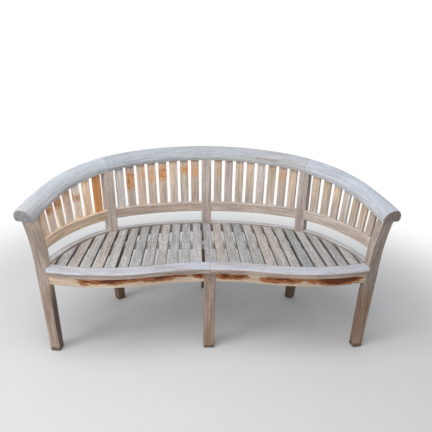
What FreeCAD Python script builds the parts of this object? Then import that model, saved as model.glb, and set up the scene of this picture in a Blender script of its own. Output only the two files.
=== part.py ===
"""Three-seat garden bench in teak with a curved back, made piece by piece.

All sizes are in millimetres. The bench stands on z = 0 and faces -Y, with +X
to the right of somebody who looks at it from the front.
"""
import math
import os

import FreeCAD
import Part
from FreeCAD import Vector

# Overall sizes
overall_width = 1600.0
back_height = 826.0
rail_fall = 127.0
seat_height = 440.0

# Top rail, a domed section that runs from one arm end to the other
rail_width = 81.0
rail_thickness = 52.0
rail_inner_edge = 15.0
rail_shoulder_radius = 30.0
rail_under_radius = 13.0
rail_crown_radius = 995.0
rail_crown_angle = 23.3
rail_side_angle = 73.8
rail_arm_radius = 1780.0
rail_arm_angle = 80.6
dome_flat_count = 5
shoulder_flat_count = 3
under_flat_count = 2

# Plan of the seat back, which is the front face of the posts at seat height
seat_crown_radius = 1033.0
seat_crown_angle = 27.4
seat_side_angle = 53.2
seat_arm_radius = 715.0
seat_arm_angle = 80.0

# Plan of the seat front, hollow in the middle and full at both sides
front_hollow_radius = 1041.0
front_hollow_angle = 13.5
front_full_radius = 881.0
front_end_overhang = 27.0
board_edge = 2.0

# Posts and legs
post_width = 50.0
post_depth = 46.0
post_foot_width = 44.0
post_foot_depth = 40.0
post_share = 0.51
post_seat_share = 0.53
post_rake = 60.0
end_leg_width = 49.0
end_leg_depth = 46.0
end_leg_foot_width = 44.0
end_leg_foot_depth = 43.0
end_leg_flare = 22.0
end_leg_flare_flat_count = 5
arm_end_overhang = 3.0
rail_setback = 2.0
front_leg_depth = 50.0
front_leg_setback = 24.0
straight_below_seat = 80.0
leg_edge = 2.5
housing_depth = 8.0

# Back panels, a lower rail and upright slats between each two posts
lower_rail_top = 550.0
lower_rail_height = 48.0
lower_rail_thickness = 26.0
lower_rail_setback = 2.0
back_slat_width = 41.0
back_slat_thickness = 13.0
back_slat_setback = 8.0
back_slat_depth_in_rail = 9.0
back_slat_edge = 1.5
middle_panel_slat_count = 8
side_panel_slat_count = 7

# Rear seat rail, which stands a little above the slats
rear_rail_thickness = 32.0
rear_rail_height = 56.0
rear_rail_rise = 8.0

# Front of the seat, a nosing board over an apron
nosing_width = 68.0
nosing_thickness = 26.0
nosing_edge_radius = 7.0
nosing_edge_flat_count = 2
nosing_corner_cut = 12.0
apron_setback = 30.0
apron_thickness = 22.0
apron_height = 54.0

# Seat slats
seat_slat_width = 41.0
seat_slat_thickness = 20.0
seat_slat_edge = 2.5
slat_count_each_side = 13
tongue_thickness = 8.0
tongue_length = 9.0

# Bearers and batten under the slats
bearer_width = 30.0
bearer_height = 50.0
side_bearer_slat_number = 8
batten_width = 45.0
batten_thickness = 25.0
batten_y = 0.0

# Joints
tenon_length = 15.0
tenon_thickness = 10.0
tenon_height = 24.0
tenon_shoulder = 8.0
side_tenon_length = 12.0
nosing_tenon_width = 20.0
loose_tenon_length = 60.0
loose_tenon_height = 16.0
fit_gap = 0.3
mortice_end_gap = 0.5

# Worked out from the sizes above
half_rail = rail_width / 2
seat_under = seat_height - seat_slat_thickness
nosing_under = seat_height - nosing_thickness
apron_under = nosing_under - apron_height
rear_rail_top = seat_height + rear_rail_rise
rear_rail_under = rear_rail_top - rear_rail_height
straight_bottom = seat_height - straight_below_seat
lower_rail_under = lower_rail_top - lower_rail_height
tongue_under = seat_height - (seat_slat_thickness + tongue_thickness) / 2
tongue_top = tongue_under + tongue_thickness
halving_limit = 1e-9
UP = Vector(0, 0, 1)


class PlanCurve:
    """A run of arcs that flow into each other, the same on both sides of x = 0.

    Each arc is a radius and the angle it turns. A negative radius bends the
    other way. Stations are lengths along the curve from its middle, positive
    towards +X, and offsets are positive towards the back of the bench.
    """

    def __init__(self, arcs, middle_y=0.0):
        self.middle_y = middle_y
        self.arcs = []
        point, heading, start = Vector(0, middle_y, 0), 0.0, 0.0
        for radius, turn in arcs:
            self.arcs.append((start, radius, heading, point))
            start += abs(radius) * math.radians(turn)
            centre = point - self.across(heading) * radius
            heading += math.copysign(math.radians(turn), radius)
            point = centre + self.across(heading) * radius
        self.half_length = start
        self.end = point

    @staticmethod
    def across(heading):
        """Unit vector square to the curve, towards the back."""
        return Vector(math.sin(heading), math.cos(heading), 0)

    def heading(self, station):
        """Angle that the curve has turned from +X towards -Y at a station."""
        start, radius, heading, _ = self.arc_at(abs(station))
        turned = heading + (abs(station) - start) / radius
        return turned if station >= 0 else -turned

    def arc_at(self, distance):
        """The arc that holds a distance from the middle; the last one runs on."""
        held = self.arcs[0]
        for arc in self.arcs:
            if arc[0] <= distance:
                held = arc
        return held

    def at(self, station, offset=0.0, z=0.0):
        """Point at a station, moved sideways by the offset, at height z."""
        start, radius, heading, point = self.arc_at(abs(station))
        centre = point - self.across(heading) * radius
        turned = heading + (abs(station) - start) / radius
        place = centre + self.across(turned) * (radius + offset)
        return Vector(math.copysign(1, station) * place.x, place.y, z)

    def stops(self, first, last):
        """The two stations and every change of arc between them."""
        bounds = [arc[0] for arc in self.arcs[1:]]
        changes = [-b for b in bounds[::-1]] + bounds
        return [first] + [b for b in changes if first < b < last] + [last]

    def edges(self, first, last, offset):
        """Arcs of the curve between two stations, moved sideways."""
        made = []
        stops = self.stops(first, last)
        for start, end in zip(stops, stops[1:]):
            points = [self.at(s, offset) for s in (start, (start + end) / 2, end)]
            made.append(Part.Arc(*points).toShape())
        return made

    def swept(self, corners, first, last):
        """Solid with one section, given as (offset, height), along the curve."""
        made = None
        stops = self.stops(first, last)
        for start, end in zip(stops, stops[1:]):
            middle = (start + end) / 2
            _, radius, heading, point = self.arc_at(abs(middle))
            centre = point - self.across(heading) * radius
            centre.x = centre.x if middle >= 0 else -centre.x
            outline = [self.at(start, offset, z) for offset, z in corners]
            face = Part.Face(Part.makePolygon(outline + outline[:1]))
            length = face.revolve(centre, UP, -math.degrees((end - start) / radius))
            made = made.fuse(length) if made else length
        return made.removeSplitter()

    def meets(self, offset, point, outward):
        """Station where the right half, at an offset, reaches an upright plane."""
        low, high = 0.0, 2 * self.half_length
        while high - low > halving_limit:
            middle = (low + high) / 2
            if (self.at(middle, offset) - point).dot(outward) < 0:
                low = middle
            else:
                high = middle
        return low


# Sections and solids with flat faces

def bend(across, up, radius, first_angle, last_angle, flats):
    """Corners of a rounding made of equal flats about a centre."""
    angles = [math.radians(first_angle + (last_angle - first_angle) * i / flats)
              for i in range(flats + 1)]
    return [(across + radius * math.cos(a), up + radius * math.sin(a)) for a in angles]


def upright_block(levels):
    """Solid with flat sides through sections of equal corners, lowest first."""
    faces = [Part.Face(Part.makePolygon(level + level[:1])) for level in (levels[0], levels[-1])]
    for low, high in zip(levels, levels[1:]):
        for i in range(len(low)):
            j = (i + 1) % len(low)
            corners = [low[i], low[j], high[j], high[i], low[i]]
            faces.append(Part.Face(Part.makePolygon(corners)))
    solid = Part.Solid(Part.Shell(faces))
    if solid.Volume < 0:
        solid.reverse()
    return solid


def section(front, heading, width, depth, grow=0.0):
    """Corners of a post's section, given the middle of its front face."""
    along = Vector(math.cos(heading), -math.sin(heading), 0)
    across = PlanCurve.across(heading)
    half = width / 2 + grow
    near, far = -grow, depth + grow
    return [front + along * a + across * b
            for a, b in ((-half, near), (half, near), (half, far), (-half, far))]


def eased(corners, size):
    """Take the sharp corners off a section."""
    made = []
    for i, corner_point in enumerate(corners):
        before = corners[i - 1] - corner_point
        after = corners[(i + 1) % len(corners)] - corner_point
        made.append(corner_point + before * (size / before.Length))
        made.append(corner_point + after * (size / after.Length))
    return made


def bar(start, end, thickness, bottom, top, grow=0.0):
    """Level bar between two points in plan, used for tenons and mortices."""
    along = (end - start).normalize()
    side = Vector(-along.y, along.x, 0) * (thickness / 2 + grow)
    low = Vector(0, 0, bottom - grow)
    corners = [start - side + low, end - side + low, end + side + low, start + side + low]
    face = Part.Face(Part.makePolygon(corners + corners[:1]))
    return face.extrude(UP * (top - bottom + 2 * grow))


def beyond(point, outward, reach=400.0):
    """Large block on the far side of an upright plane, for cutting ends."""
    along = Vector(-outward.y, outward.x, 0)
    foot = Vector(point.x, point.y, -reach)
    corners = [foot - along * reach, foot + along * reach,
               foot + along * reach + outward * reach, foot - along * reach + outward * reach]
    face = Part.Face(Part.makePolygon(corners + corners[:1]))
    return face.extrude(UP * (back_height + 2 * reach))


# Plan of the top rail; the side radius follows from the overall width

def arc_run(crown_radius, crown_angle, side_angle, arm_radius, arm_angle, half_width):
    """Arcs of a back curve whose side radius makes it end at half_width."""
    first, second, third = (math.sin(math.radians(a)) for a in (crown_angle, side_angle, arm_angle))
    side_radius = (half_width - crown_radius * first - arm_radius * (third - second)) / (second - first)
    return [(crown_radius, crown_angle), (side_radius, side_angle - crown_angle),
            (arm_radius, arm_angle - side_angle)]


arm_heading = math.radians(rail_arm_angle)
rail_arcs = arc_run(rail_crown_radius, rail_crown_angle, rail_side_angle, rail_arm_radius,
                    rail_arm_angle, overall_width / 2 - half_rail * math.sin(arm_heading))
rail_drop = -PlanCurve(rail_arcs).end.y
rail_slope = rail_fall / rail_drop

# End leg in plan, inner face in line with the rail's inner edge
end_leg_station = PlanCurve(rail_arcs).half_length - arm_end_overhang
end_leg_offset = -half_rail + rail_setback
leg_along = Vector(math.cos(arm_heading), -math.sin(arm_heading), 0)
leg_across = PlanCurve.across(arm_heading)


def leg_corner(curve, flare):
    """Inner front corner of the right end leg, before its flare is added."""
    return curve.at(end_leg_station, end_leg_offset) - leg_across * (end_leg_flare - flare)


# The bench is centred between the nosing's fullest point and the rail's back
plain_corner = leg_corner(PlanCurve(rail_arcs), 0.0)
hollow_turn = math.radians(front_hollow_angle)
full_x = (front_hollow_radius + front_full_radius) * math.sin(hollow_turn)
full_y = -(front_hollow_radius + front_full_radius) * (1 - math.cos(hollow_turn))
end_turn = math.asin((plain_corner.x - full_x) / front_full_radius)
end_rise = front_full_radius * (1 - math.cos(end_turn))
front_arcs = [(front_hollow_radius, front_hollow_angle),
              (-front_full_radius, front_hollow_angle + math.degrees(end_turn))]
front_middle_to_crown = plain_corner.y - front_end_overhang - full_y - end_rise
overall_depth = half_rail - (front_middle_to_crown + full_y)
crown_y = overall_depth / 2 - half_rail

rail_plan = PlanCurve(rail_arcs, crown_y)
front_plan = PlanCurve(front_arcs, crown_y + front_middle_to_crown)
corner = leg_corner(rail_plan, 0.0)
leg_back_corner = corner - leg_along * end_leg_depth

# The last slat on each side is centred on its end leg's inner front corner
seat_slat_pitch = corner.x / slat_count_each_side

seat_arcs = arc_run(seat_crown_radius, seat_crown_angle, seat_side_angle, seat_arm_radius,
                    seat_arm_angle, leg_back_corner.x)
seat_plan = PlanCurve(seat_arcs, leg_back_corner.y - PlanCurve(seat_arcs).end.y)


# Section and heights of the top rail, which lies in one sloping plane

def rail_section():
    """Corners of the rail's section: flat base, full round back and low dome."""
    shoulder_middle = half_rail - rail_shoulder_radius
    rise = rail_thickness - rail_inner_edge
    run = shoulder_middle + half_rail
    dome_radius = (run ** 2 + rise ** 2) / (2 * rise)
    dome_turn = math.degrees(math.asin(run / dome_radius))
    corners = [(-half_rail, 0.0)]
    corners += bend(half_rail - rail_under_radius, rail_under_radius, rail_under_radius,
                    -90, 0, under_flat_count)
    corners += bend(shoulder_middle, rail_thickness - rail_shoulder_radius,
                    rail_shoulder_radius, 0, 90, shoulder_flat_count)
    corners += bend(shoulder_middle, rail_thickness - dome_radius, dome_radius,
                    90, 90 + dome_turn, dome_flat_count)[1:]
    return corners


rail_base = back_height - max(up + rail_slope * across for across, up in rail_section())


def rail_under(point):
    """Height of the rail's underside over a point in plan."""
    return rail_base + rail_slope * (point.y - crown_y)


def met_by_rail(low, high, rise):
    """Point on the line through low and high, a rise above the rail's underside."""
    below = rail_under(low) + rise - low.z
    above = high.z - rail_under(high) - rise
    return low + (high - low) * (below / (below + above))


rail_back_length = end_leg_station - end_leg_depth


def rail_station(share):
    """Station on the rail for a share of the way from the middle to the end leg."""
    return share * rail_back_length


def seat_station(share):
    """Station on the back of the seat that lies below a share of the rail."""
    if abs(share) < post_share:
        seat_share = abs(share) * post_seat_share / post_share
    else:
        seat_share = 1 - (1 - abs(share)) * (1 - post_seat_share) / (1 - post_share)
    return math.copysign(seat_share, share) * seat_plan.half_length


def back_line(share):
    """Lowest and highest point of the back's front surface at a share."""
    low = seat_plan.at(seat_station(share), 0, rear_rail_top)
    high = rail_plan.at(rail_station(share), -half_rail + rail_setback)
    return low, high + UP * rail_under(high)


def back_point(share, z, setback=0.0):
    """Point on the leaning front surface of the back, moved back by a setback."""
    low, high = back_line(share)
    across = PlanCurve.across(rail_plan.heading(rail_station(share)))
    return low + (high - low) * ((z - low.z) / (high.z - low.z)) + across * setback


# Posts and legs

def post_solid(share, grow=0.0, ease=0.0):
    """Rear leg that runs up into the back, raked below the seat."""
    heading = rail_plan.heading(rail_station(share))
    knee = back_point(share, rear_rail_top)
    straight = Vector(knee.x, knee.y, straight_bottom)
    foot = Vector(knee.x, knee.y + post_rake, 0)
    levels = [section(foot, heading, post_foot_width, post_foot_depth, grow),
              section(straight, heading, post_width, post_depth, grow),
              section(knee, heading, post_width, post_depth, grow),
              section(back_line(share)[1], heading, post_width, post_depth, grow)]
    return into_rail(levels, ease, housing_depth)


def into_rail(levels, ease, rise):
    """Solid through sections whose top end stands inside the sloping rail."""
    if ease:
        levels = [eased(level, ease) for level in levels]
    top = [met_by_rail(low, high, rise) for low, high in zip(levels[-2], levels[-1])]
    return upright_block(levels[:-1] + [top])


def end_leg_solid(side, grow=0.0, ease=0.0):
    """Leg and arm post in one, which bends outwards from the seat up to the arm."""
    def level(flare, z, width, depth):
        start = leg_corner(rail_plan, flare) + leg_across * (end_leg_width - width) / 2 + UP * z
        start = start - leg_along * (end_leg_depth - depth) / 2
        near, far = leg_along * grow, -leg_along * (depth + grow)
        inner, outer = -leg_across * grow, leg_across * (width + grow)
        corners = [start + near + inner, start + near + outer, start + far + outer,
                   start + far + inner]
        return [Vector(side * p.x, p.y, p.z) for p in corners]

    levels = [level(0.0, 0.0, end_leg_foot_width, end_leg_foot_depth),
              level(0.0, straight_bottom, end_leg_width, end_leg_depth)]
    rise = rail_under(corner) - rear_rail_top
    for i in range(end_leg_flare_flat_count + 1):
        share = i / end_leg_flare_flat_count
        levels.append(level(end_leg_flare * share ** 2, rear_rail_top + rise * share,
                            end_leg_width, end_leg_depth))
    return into_rail(levels, ease, housing_depth)


def front_leg_solid(ease=0.0):
    """Square leg under the middle of the nosing."""
    levels = []
    for z in (0.0, nosing_under):
        front = Vector(0, front_plan.middle_y + front_leg_setback, z)
        level = section(front, 0.0, post_width, front_leg_depth)
        levels.append(eased(level, ease) if ease else level)
    return upright_block(levels)


def rail_length(first, last):
    """One length of the top rail between two stations."""
    level = rail_plan.swept(rail_section(), first, last)
    slope = FreeCAD.Matrix()
    slope.A32 = rail_slope
    slope.A34 = rail_base - rail_slope * crown_y
    return level.transformGeometry(slope)


# Slats of the back

def slat_block(share, bottom, rise, grow=0.0, ease=0.0):
    """Straight slat at a share, which leans as the back does, into the rail."""
    heading = rail_plan.heading(rail_station(share))
    levels = [section(back_point(share, z, back_slat_setback), heading, back_slat_width,
                      back_slat_thickness, grow) for z in (bottom, back_line(share)[1].z)]
    return into_rail(levels, ease, rise)


def slat_shares(first_edge, last_edge, count):
    """Middle of each slat, spaced evenly on the rail between two stations."""
    gap = (last_edge - first_edge - count * back_slat_width) / (count + 1)
    step = back_slat_width + gap
    return [(first_edge + gap + back_slat_width / 2 + i * step) / rail_back_length
            for i in range(count)]


# Build the posts
post_shares = {"rear_left_leg": -post_share, "rear_centre_leg": 0.0, "rear_right_leg": post_share}


def all_posts(ease):
    """Every post and leg by name, with its long corners eased or sharp."""
    made = {name: post_solid(share, 0.0, ease) for name, share in post_shares.items()}
    made["left_end_leg"] = end_leg_solid(-1, 0.0, ease)
    made["right_end_leg"] = end_leg_solid(1, 0.0, ease)
    made["front_centre_leg"] = front_leg_solid(ease)
    return made


blanks = all_posts(0.0)
pieces = all_posts(leg_edge)

# Flat ends that the front boards are cut to
side_signs = {"left": -1, "right": 1}


def mirrored(point, sign):
    """The point itself for the right side, or its twin on the left."""
    return Vector(sign * point.x, point.y, point.z)


inside_leg = {side: beyond(mirrored(corner, sign), mirrored(leg_across, sign))
              for side, sign in side_signs.items()}

# Top rail in three lengths that meet over the back posts, with loose tenons
joint_station = rail_station(post_share)
end_station = rail_plan.half_length
rails = {"top_rail_left": rail_length(-end_station, -joint_station),
         "top_rail_centre": rail_length(-joint_station, joint_station),
         "top_rail_right": rail_length(joint_station, end_station)}


def loose_tenon(station, length, grow=0.0):
    """Loose tenon across a joint of the top rail."""
    heading = rail_plan.heading(station)
    along = Vector(math.cos(heading), -math.sin(heading), 0) * (length / 2)
    middle = rail_plan.at(station)
    bottom = rail_under(middle) + loose_tenon_height
    return bar(middle - along, middle + along, tenon_thickness, bottom, bottom + tenon_height, grow)


joint_stations = (-joint_station, joint_station)
pieces["rail_tenons"] = Part.makeCompound([loose_tenon(s, loose_tenon_length)
                                           for s in joint_stations])
rail_holes = [loose_tenon(s, loose_tenon_length + 2 * mortice_end_gap, fit_gap)
              for s in joint_stations]
rail_holes += [post_solid(share, fit_gap) for share in post_shares.values()]
rail_holes += [end_leg_solid(sign, fit_gap) for sign in side_signs.values()]


# Panels of the back and the rear seat rails

def panel_rail(first, last, z, inner, outer, bottom, top):
    """Curved rail of one panel, one arc through points on the back's surface."""
    shares = [first, (first + last) / 2, last]
    rows = [[back_point(s, z, setback) for s in shares] for setback in (inner, outer)]
    front, back = [[Vector(p.x, p.y, bottom) for p in row] for row in rows]
    outline = Part.Wire([Part.Arc(*front).toShape(), Part.makeLine(front[2], back[2]),
                         Part.Arc(*back[::-1]).toShape(), Part.makeLine(back[0], front[0])])
    return Part.Face(outline).extrude(UP * (top - bottom))


def joint_at(post, side, z, setback):
    """Point on the face of a post that a rail meets, and the way into the post."""
    if post in post_shares:
        heading = rail_plan.heading(rail_station(post_shares[post]))
        along = Vector(math.cos(heading), -math.sin(heading), 0)
        point = back_point(post_shares[post], z, setback) + along * post_edge * side
    else:
        along = Vector(leg_along.x, -leg_along.y * side, 0)
        point = back_point(-side, z, setback)
    return Vector(point.x, point.y, 0), -along * side


def panel_joints(posts, z, setback, bottom):
    """Middle lines and heights of the tenons at both ends of a panel's rail."""
    joints = []
    for post, side in zip(posts, (1, -1)):
        point, into = joint_at(post, side, z, setback)
        joints.append((point - into * tenon_length, point + into * tenon_length,
                       bottom, bottom + tenon_height))
    return joints


def join(name, solid, joints, posts):
    """Cut a rail to the faces of its posts, give it tenons and cut the mortices."""
    for (start, end, bottom, top), post in zip(joints, posts):
        along = (end - start).normalize()
        solid = solid.cut([beyond((start + end) / 2, along), blanks[post]])
        solid = solid.fuse(bar(start, end, tenon_thickness, bottom, top))
        hole = bar(start, end + along * mortice_end_gap, tenon_thickness, bottom, top, fit_gap)
        pieces[post] = pieces[post].cut(hole)
    pieces[name] = solid.removeSplitter()


post_edge = post_width / 2
panels = {
    "left": (-rail_back_length, -joint_station - post_edge, side_panel_slat_count,
             "left_end_leg", "rear_left_leg"),
    "centre_left": (-joint_station + post_edge, -post_edge, middle_panel_slat_count,
                    "rear_left_leg", "rear_centre_leg"),
    "centre_right": (post_edge, joint_station - post_edge, middle_panel_slat_count,
                     "rear_centre_leg", "rear_right_leg"),
    "right": (joint_station + post_edge, rail_back_length, side_panel_slat_count,
              "rear_right_leg", "right_end_leg"),
}
rear_rail_section = [
    (board_edge, rear_rail_top), (0, rear_rail_top - board_edge),
    (0, tongue_top + fit_gap), (tongue_length + mortice_end_gap, tongue_top + fit_gap),
    (tongue_length + mortice_end_gap, tongue_under - fit_gap), (0, tongue_under - fit_gap),
    (0, rear_rail_under), (rear_rail_thickness, rear_rail_under),
    (rear_rail_thickness, rear_rail_top)]
slat_floor = lower_rail_top - back_slat_depth_in_rail

for panel, (first_edge, last_edge, count, first_post, last_post) in panels.items():
    shares = slat_shares(first_edge, last_edge, count)
    first, last = first_edge / rail_back_length, last_edge / rail_back_length
    reach = post_edge / rail_back_length
    posts = (first_post, last_post)

    slats = [slat_block(s, slat_floor, back_slat_depth_in_rail, 0.0, back_slat_edge) for s in shares]
    pieces["back_slats_" + panel] = Part.makeCompound(slats)
    rooms = [slat_block(s, slat_floor, back_slat_depth_in_rail + mortice_end_gap, fit_gap)
             for s in shares]
    rail_holes += rooms

    middle_z = (lower_rail_top + lower_rail_under) / 2
    rail = panel_rail(first - reach, last + reach, middle_z, lower_rail_setback,
                      lower_rail_setback + lower_rail_thickness, lower_rail_under, lower_rail_top)
    joints = panel_joints(posts, middle_z, lower_rail_setback + lower_rail_thickness / 2,
                          lower_rail_under + tenon_shoulder)
    join("lower_back_rail_" + panel, rail.cut(rooms), joints, posts)

    rear = seat_plan.swept(rear_rail_section, seat_station(first - reach), seat_station(last + reach))
    joints = panel_joints(posts, rear_rail_top, rear_rail_thickness / 2,
                          rear_rail_under + tenon_shoulder)
    join("rear_seat_rail_" + panel, rear, joints, posts)

for name, rail in rails.items():
    box = rail.BoundBox
    box.enlarge(fit_gap)
    pieces[name] = rail.cut([hole for hole in rail_holes if box.intersect(hole.BoundBox)])

# Nosing and apron in two lengths each, tenoned to the legs
nosing_section = bend(nosing_edge_radius, seat_height - nosing_edge_radius, nosing_edge_radius,
                      90, 180, nosing_edge_flat_count)
nosing_section += [
    (0, nosing_under + board_edge), (board_edge, nosing_under), (nosing_width, nosing_under),
    (nosing_width, tongue_under - fit_gap),
    (nosing_width - tongue_length - mortice_end_gap, tongue_under - fit_gap),
    (nosing_width - tongue_length - mortice_end_gap, tongue_top + fit_gap),
    (nosing_width, tongue_top + fit_gap), (nosing_width, seat_height)]
apron_back = apron_setback + apron_thickness
apron_section = [
    (apron_setback, nosing_under), (apron_setback, apron_under + board_edge),
    (apron_setback + board_edge, apron_under), (apron_back - board_edge, apron_under),
    (apron_back, apron_under + board_edge), (apron_back, nosing_under)]
front_end = front_plan.half_length + nosing_width
leg_middle_y = front_plan.middle_y + front_leg_setback + front_leg_depth / 2


def end_tenon(offset, bottom, top, width):
    """Middle line of a tenon from a front board into the right end leg."""
    station = front_plan.meets(offset, corner, leg_across)
    edge = front_plan.at(station, offset)
    return edge - leg_across * tenon_length, edge + leg_across * tenon_length, bottom, top, width


def add_tenon(solid, leg, tenon, sign):
    """Put a tenon on a board and cut its mortice in the leg."""
    start, end, bottom, top, width = tenon
    start, end = mirrored(start, sign), mirrored(end, sign)
    along = (end - start).normalize()
    hole = bar(start, end + along * mortice_end_gap, width, bottom, top, fit_gap)
    pieces[leg] = pieces[leg].cut(hole)
    return solid.fuse(bar(start, end, width, bottom, top))


apron_tenon_under = apron_under + tenon_shoulder
apron_middle = apron_setback + apron_thickness / 2
nosing_tenon_under = nosing_under + tenon_shoulder
nosing_tenon_offset = front_end_overhang + nosing_tenon_width / 2 + leg_edge
for side, sign in side_signs.items():
    first, last = (0.0, front_end) if sign > 0 else (-front_end, 0.0)
    leg = side + "_end_leg"
    nosing = front_plan.swept(nosing_section, first, last).cut(inside_leg[side])
    end_front = front_plan.at(front_plan.meets(0.0, corner, leg_across))
    diagonal = (leg_across + leg_along).normalize()
    cut_point = end_front - leg_across * nosing_corner_cut
    nosing = nosing.cut(beyond(mirrored(cut_point, sign), mirrored(diagonal, sign)))
    tenon = end_tenon(nosing_tenon_offset, nosing_tenon_under, nosing_tenon_under + tenon_thickness,
                      nosing_tenon_width)
    pieces["nosing_" + side] = add_tenon(nosing, leg, tenon, sign)

    apron = front_plan.swept(apron_section, first, last)
    apron = apron.cut(inside_leg[side]).cut(blanks["front_centre_leg"])
    tenon = end_tenon(apron_middle, apron_tenon_under, apron_tenon_under + tenon_height,
                      tenon_thickness)
    apron = add_tenon(apron, leg, tenon, sign)
    at_leg = Vector(post_edge, front_plan.at(post_edge, apron_middle).y, 0)
    inward = Vector(tenon_length, 0, 0)
    tenon = (at_leg + inward, at_leg - inward, apron_tenon_under,
             apron_tenon_under + tenon_height, tenon_thickness)
    pieces["apron_" + side] = add_tenon(apron, "front_centre_leg", tenon, sign)


# Seat slats, bearers and batten, cut to both curves

def seat_region(front_offset, back_offset, bottom, top):
    """Solid between an offset of the front curve and one of the back curve."""
    front = front_plan.edges(-front_end, front_end, front_offset)
    back = seat_plan.edges(-seat_plan.half_length, seat_plan.half_length, back_offset)
    left = Part.makeLine(front[0].Vertexes[0].Point, back[0].Vertexes[0].Point)
    right = Part.makeLine(front[-1].Vertexes[-1].Point, back[-1].Vertexes[-1].Point)
    outline = Part.Wire(Part.__sortEdges__(front + back + [left, right]))
    solid = Part.Face(outline).extrude(UP * (top - bottom))
    solid.translate(UP * bottom)
    return solid


def lengthwise(middle_x, width, bottom, top, edge=0.0):
    """Straight strip from front to back, its top edges eased."""
    half = width / 2
    corners = [(-half, bottom), (half, bottom), (half, top - edge), (half - edge, top),
               (edge - half, top), (-half, top - edge)]
    if not edge:
        corners = [(-half, bottom), (half, bottom), (half, top), (-half, top)]
    outline = [Vector(middle_x + across, -overall_depth, z) for across, z in corners]
    face = Part.Face(Part.makePolygon(outline + outline[:1]))
    return face.extrude(Vector(0, 2 * overall_depth, 0))


slat_obstacles = [post_solid(share, fit_gap) for share in post_shares.values()]
slat_obstacles += [end_leg_solid(sign, fit_gap) for sign in side_signs.values()]
slat_obstacles += inside_leg.values()


slat_limit = seat_plan.at(seat_plan.half_length, -fit_gap).x


def slat_outline(middle_x, front_offset, back_offset):
    """Plan corners of a slat, its ends sawn straight along the two curves."""
    corners = []
    for across in (-seat_slat_width / 2, seat_slat_width / 2):
        x = max(-slat_limit, min(slat_limit, middle_x + across))
        plane = Vector(abs(x), 0, 0), Vector(1, 0, 0)
        front = front_plan.at(front_plan.meets(front_offset, *plane), front_offset)
        back = seat_plan.at(seat_plan.meets(back_offset, *plane), back_offset)
        corners += [Vector(x, front.y, 0), Vector(x, back.y, 0)]
    return [corners[0], corners[2], corners[3], corners[1]]


def slat_part(number, front_offset, back_offset, bottom, top, edge):
    """A slat, or the board that its tongues are left from, between two heights."""
    middle_x = number * seat_slat_pitch
    outline = slat_outline(middle_x, front_offset, back_offset)
    solid = Part.Face(Part.makePolygon(outline + outline[:1])).extrude(UP * (top - bottom))
    solid.translate(UP * bottom)
    return solid.common(lengthwise(middle_x, seat_slat_width, bottom, top, edge)).cut(slat_obstacles)


for number in range(-slat_count_each_side, slat_count_each_side + 1):
    body = slat_part(number, nosing_width + fit_gap, -fit_gap, seat_under, seat_height,
                     seat_slat_edge)
    tongue = slat_part(number, nosing_width - tongue_length, tongue_length, tongue_under,
                       tongue_top, 0.0)
    pieces["seat_slat_%02d" % (number + slat_count_each_side + 1)] = body.fuse(tongue).removeSplitter()

bearer_under = seat_under - bearer_height
batten_under = seat_under - batten_thickness
batten_room = Part.makeBox(2 * overall_width, batten_width + 2 * fit_gap, batten_thickness,
                           Vector(-overall_width, batten_y - batten_width / 2 - fit_gap, batten_under))

under_nosing = seat_region(0.0, 0.0, nosing_under, seat_under).cut(
    seat_region(nosing_width + fit_gap, 0.0, nosing_under, seat_under))

# Centre bearer between the front leg and the rear leg
front_face = Vector(0, leg_middle_y + front_leg_depth / 2, 0)
rear_face = Vector(0, seat_plan.middle_y, 0)
centre_bearer = Part.makeBox(bearer_width, rear_face.y - front_face.y, bearer_height,
                             Vector(-bearer_width / 2, front_face.y, bearer_under))
centre_bearer = centre_bearer.cut([batten_room, under_nosing])
bearer_tenon_under = bearer_under + tenon_shoulder
for face, outward, leg in ((front_face, Vector(0, -1, 0), "front_centre_leg"),
                           (rear_face, Vector(0, 1, 0), "rear_centre_leg")):
    tenon = (face - outward * tenon_length, face + outward * tenon_length, bearer_tenon_under,
             bearer_tenon_under + tenon_height, tenon_thickness)
    centre_bearer = add_tenon(centre_bearer, leg, tenon, 1)
pieces["centre_bearer"] = centre_bearer.removeSplitter()

# Side bearers between the aprons and the rear seat rails
bearer_region = seat_region(apron_back, 0.0, bearer_under, seat_under)
at_bearer = Vector(side_bearer_slat_number * seat_slat_pitch, 0, 0)
apron_point = front_plan.at(front_plan.meets(apron_back, at_bearer, Vector(1, 0, 0)), apron_back)
rear_point = seat_plan.at(seat_plan.meets(0.0, at_bearer, Vector(1, 0, 0)))
back = Vector(0, 1, 0)
side_tenons = {
    "apron_": (apron_point + back * tenon_length, apron_point - back * side_tenon_length,
               apron_tenon_under, apron_tenon_under + tenon_height, tenon_thickness),
    "rear_seat_rail_centre_": (rear_point - back * tenon_length,
                               rear_point + back * side_tenon_length,
                               rear_rail_under + tenon_shoulder, seat_under - tenon_shoulder,
                               tenon_thickness),
}
for side, sign in side_signs.items():
    bearer = bearer_region.common(lengthwise(sign * at_bearer.x, bearer_width, bearer_under,
                                             seat_under))
    bearer = bearer.cut([under_nosing, batten_room])
    for rail, tenon in side_tenons.items():
        bearer = add_tenon(bearer, rail + side, tenon, sign)
    pieces["side_bearer_" + side] = bearer.removeSplitter()

# Batten across the bearers, straight from one rear rail to the other
batten = Part.makeBox(2 * overall_width, batten_width, batten_thickness,
                      Vector(-overall_width, batten_y - batten_width / 2, batten_under))
batten = batten.common(seat_region(nosing_width, -fit_gap, batten_under, seat_under))
pieces["mid_batten"] = batten.cut(slat_obstacles)

# Write one file for each piece
os.makedirs("parts", exist_ok=True)
for name, shape in pieces.items():
    shape.exportStep("parts/%s.step" % name)
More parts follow.
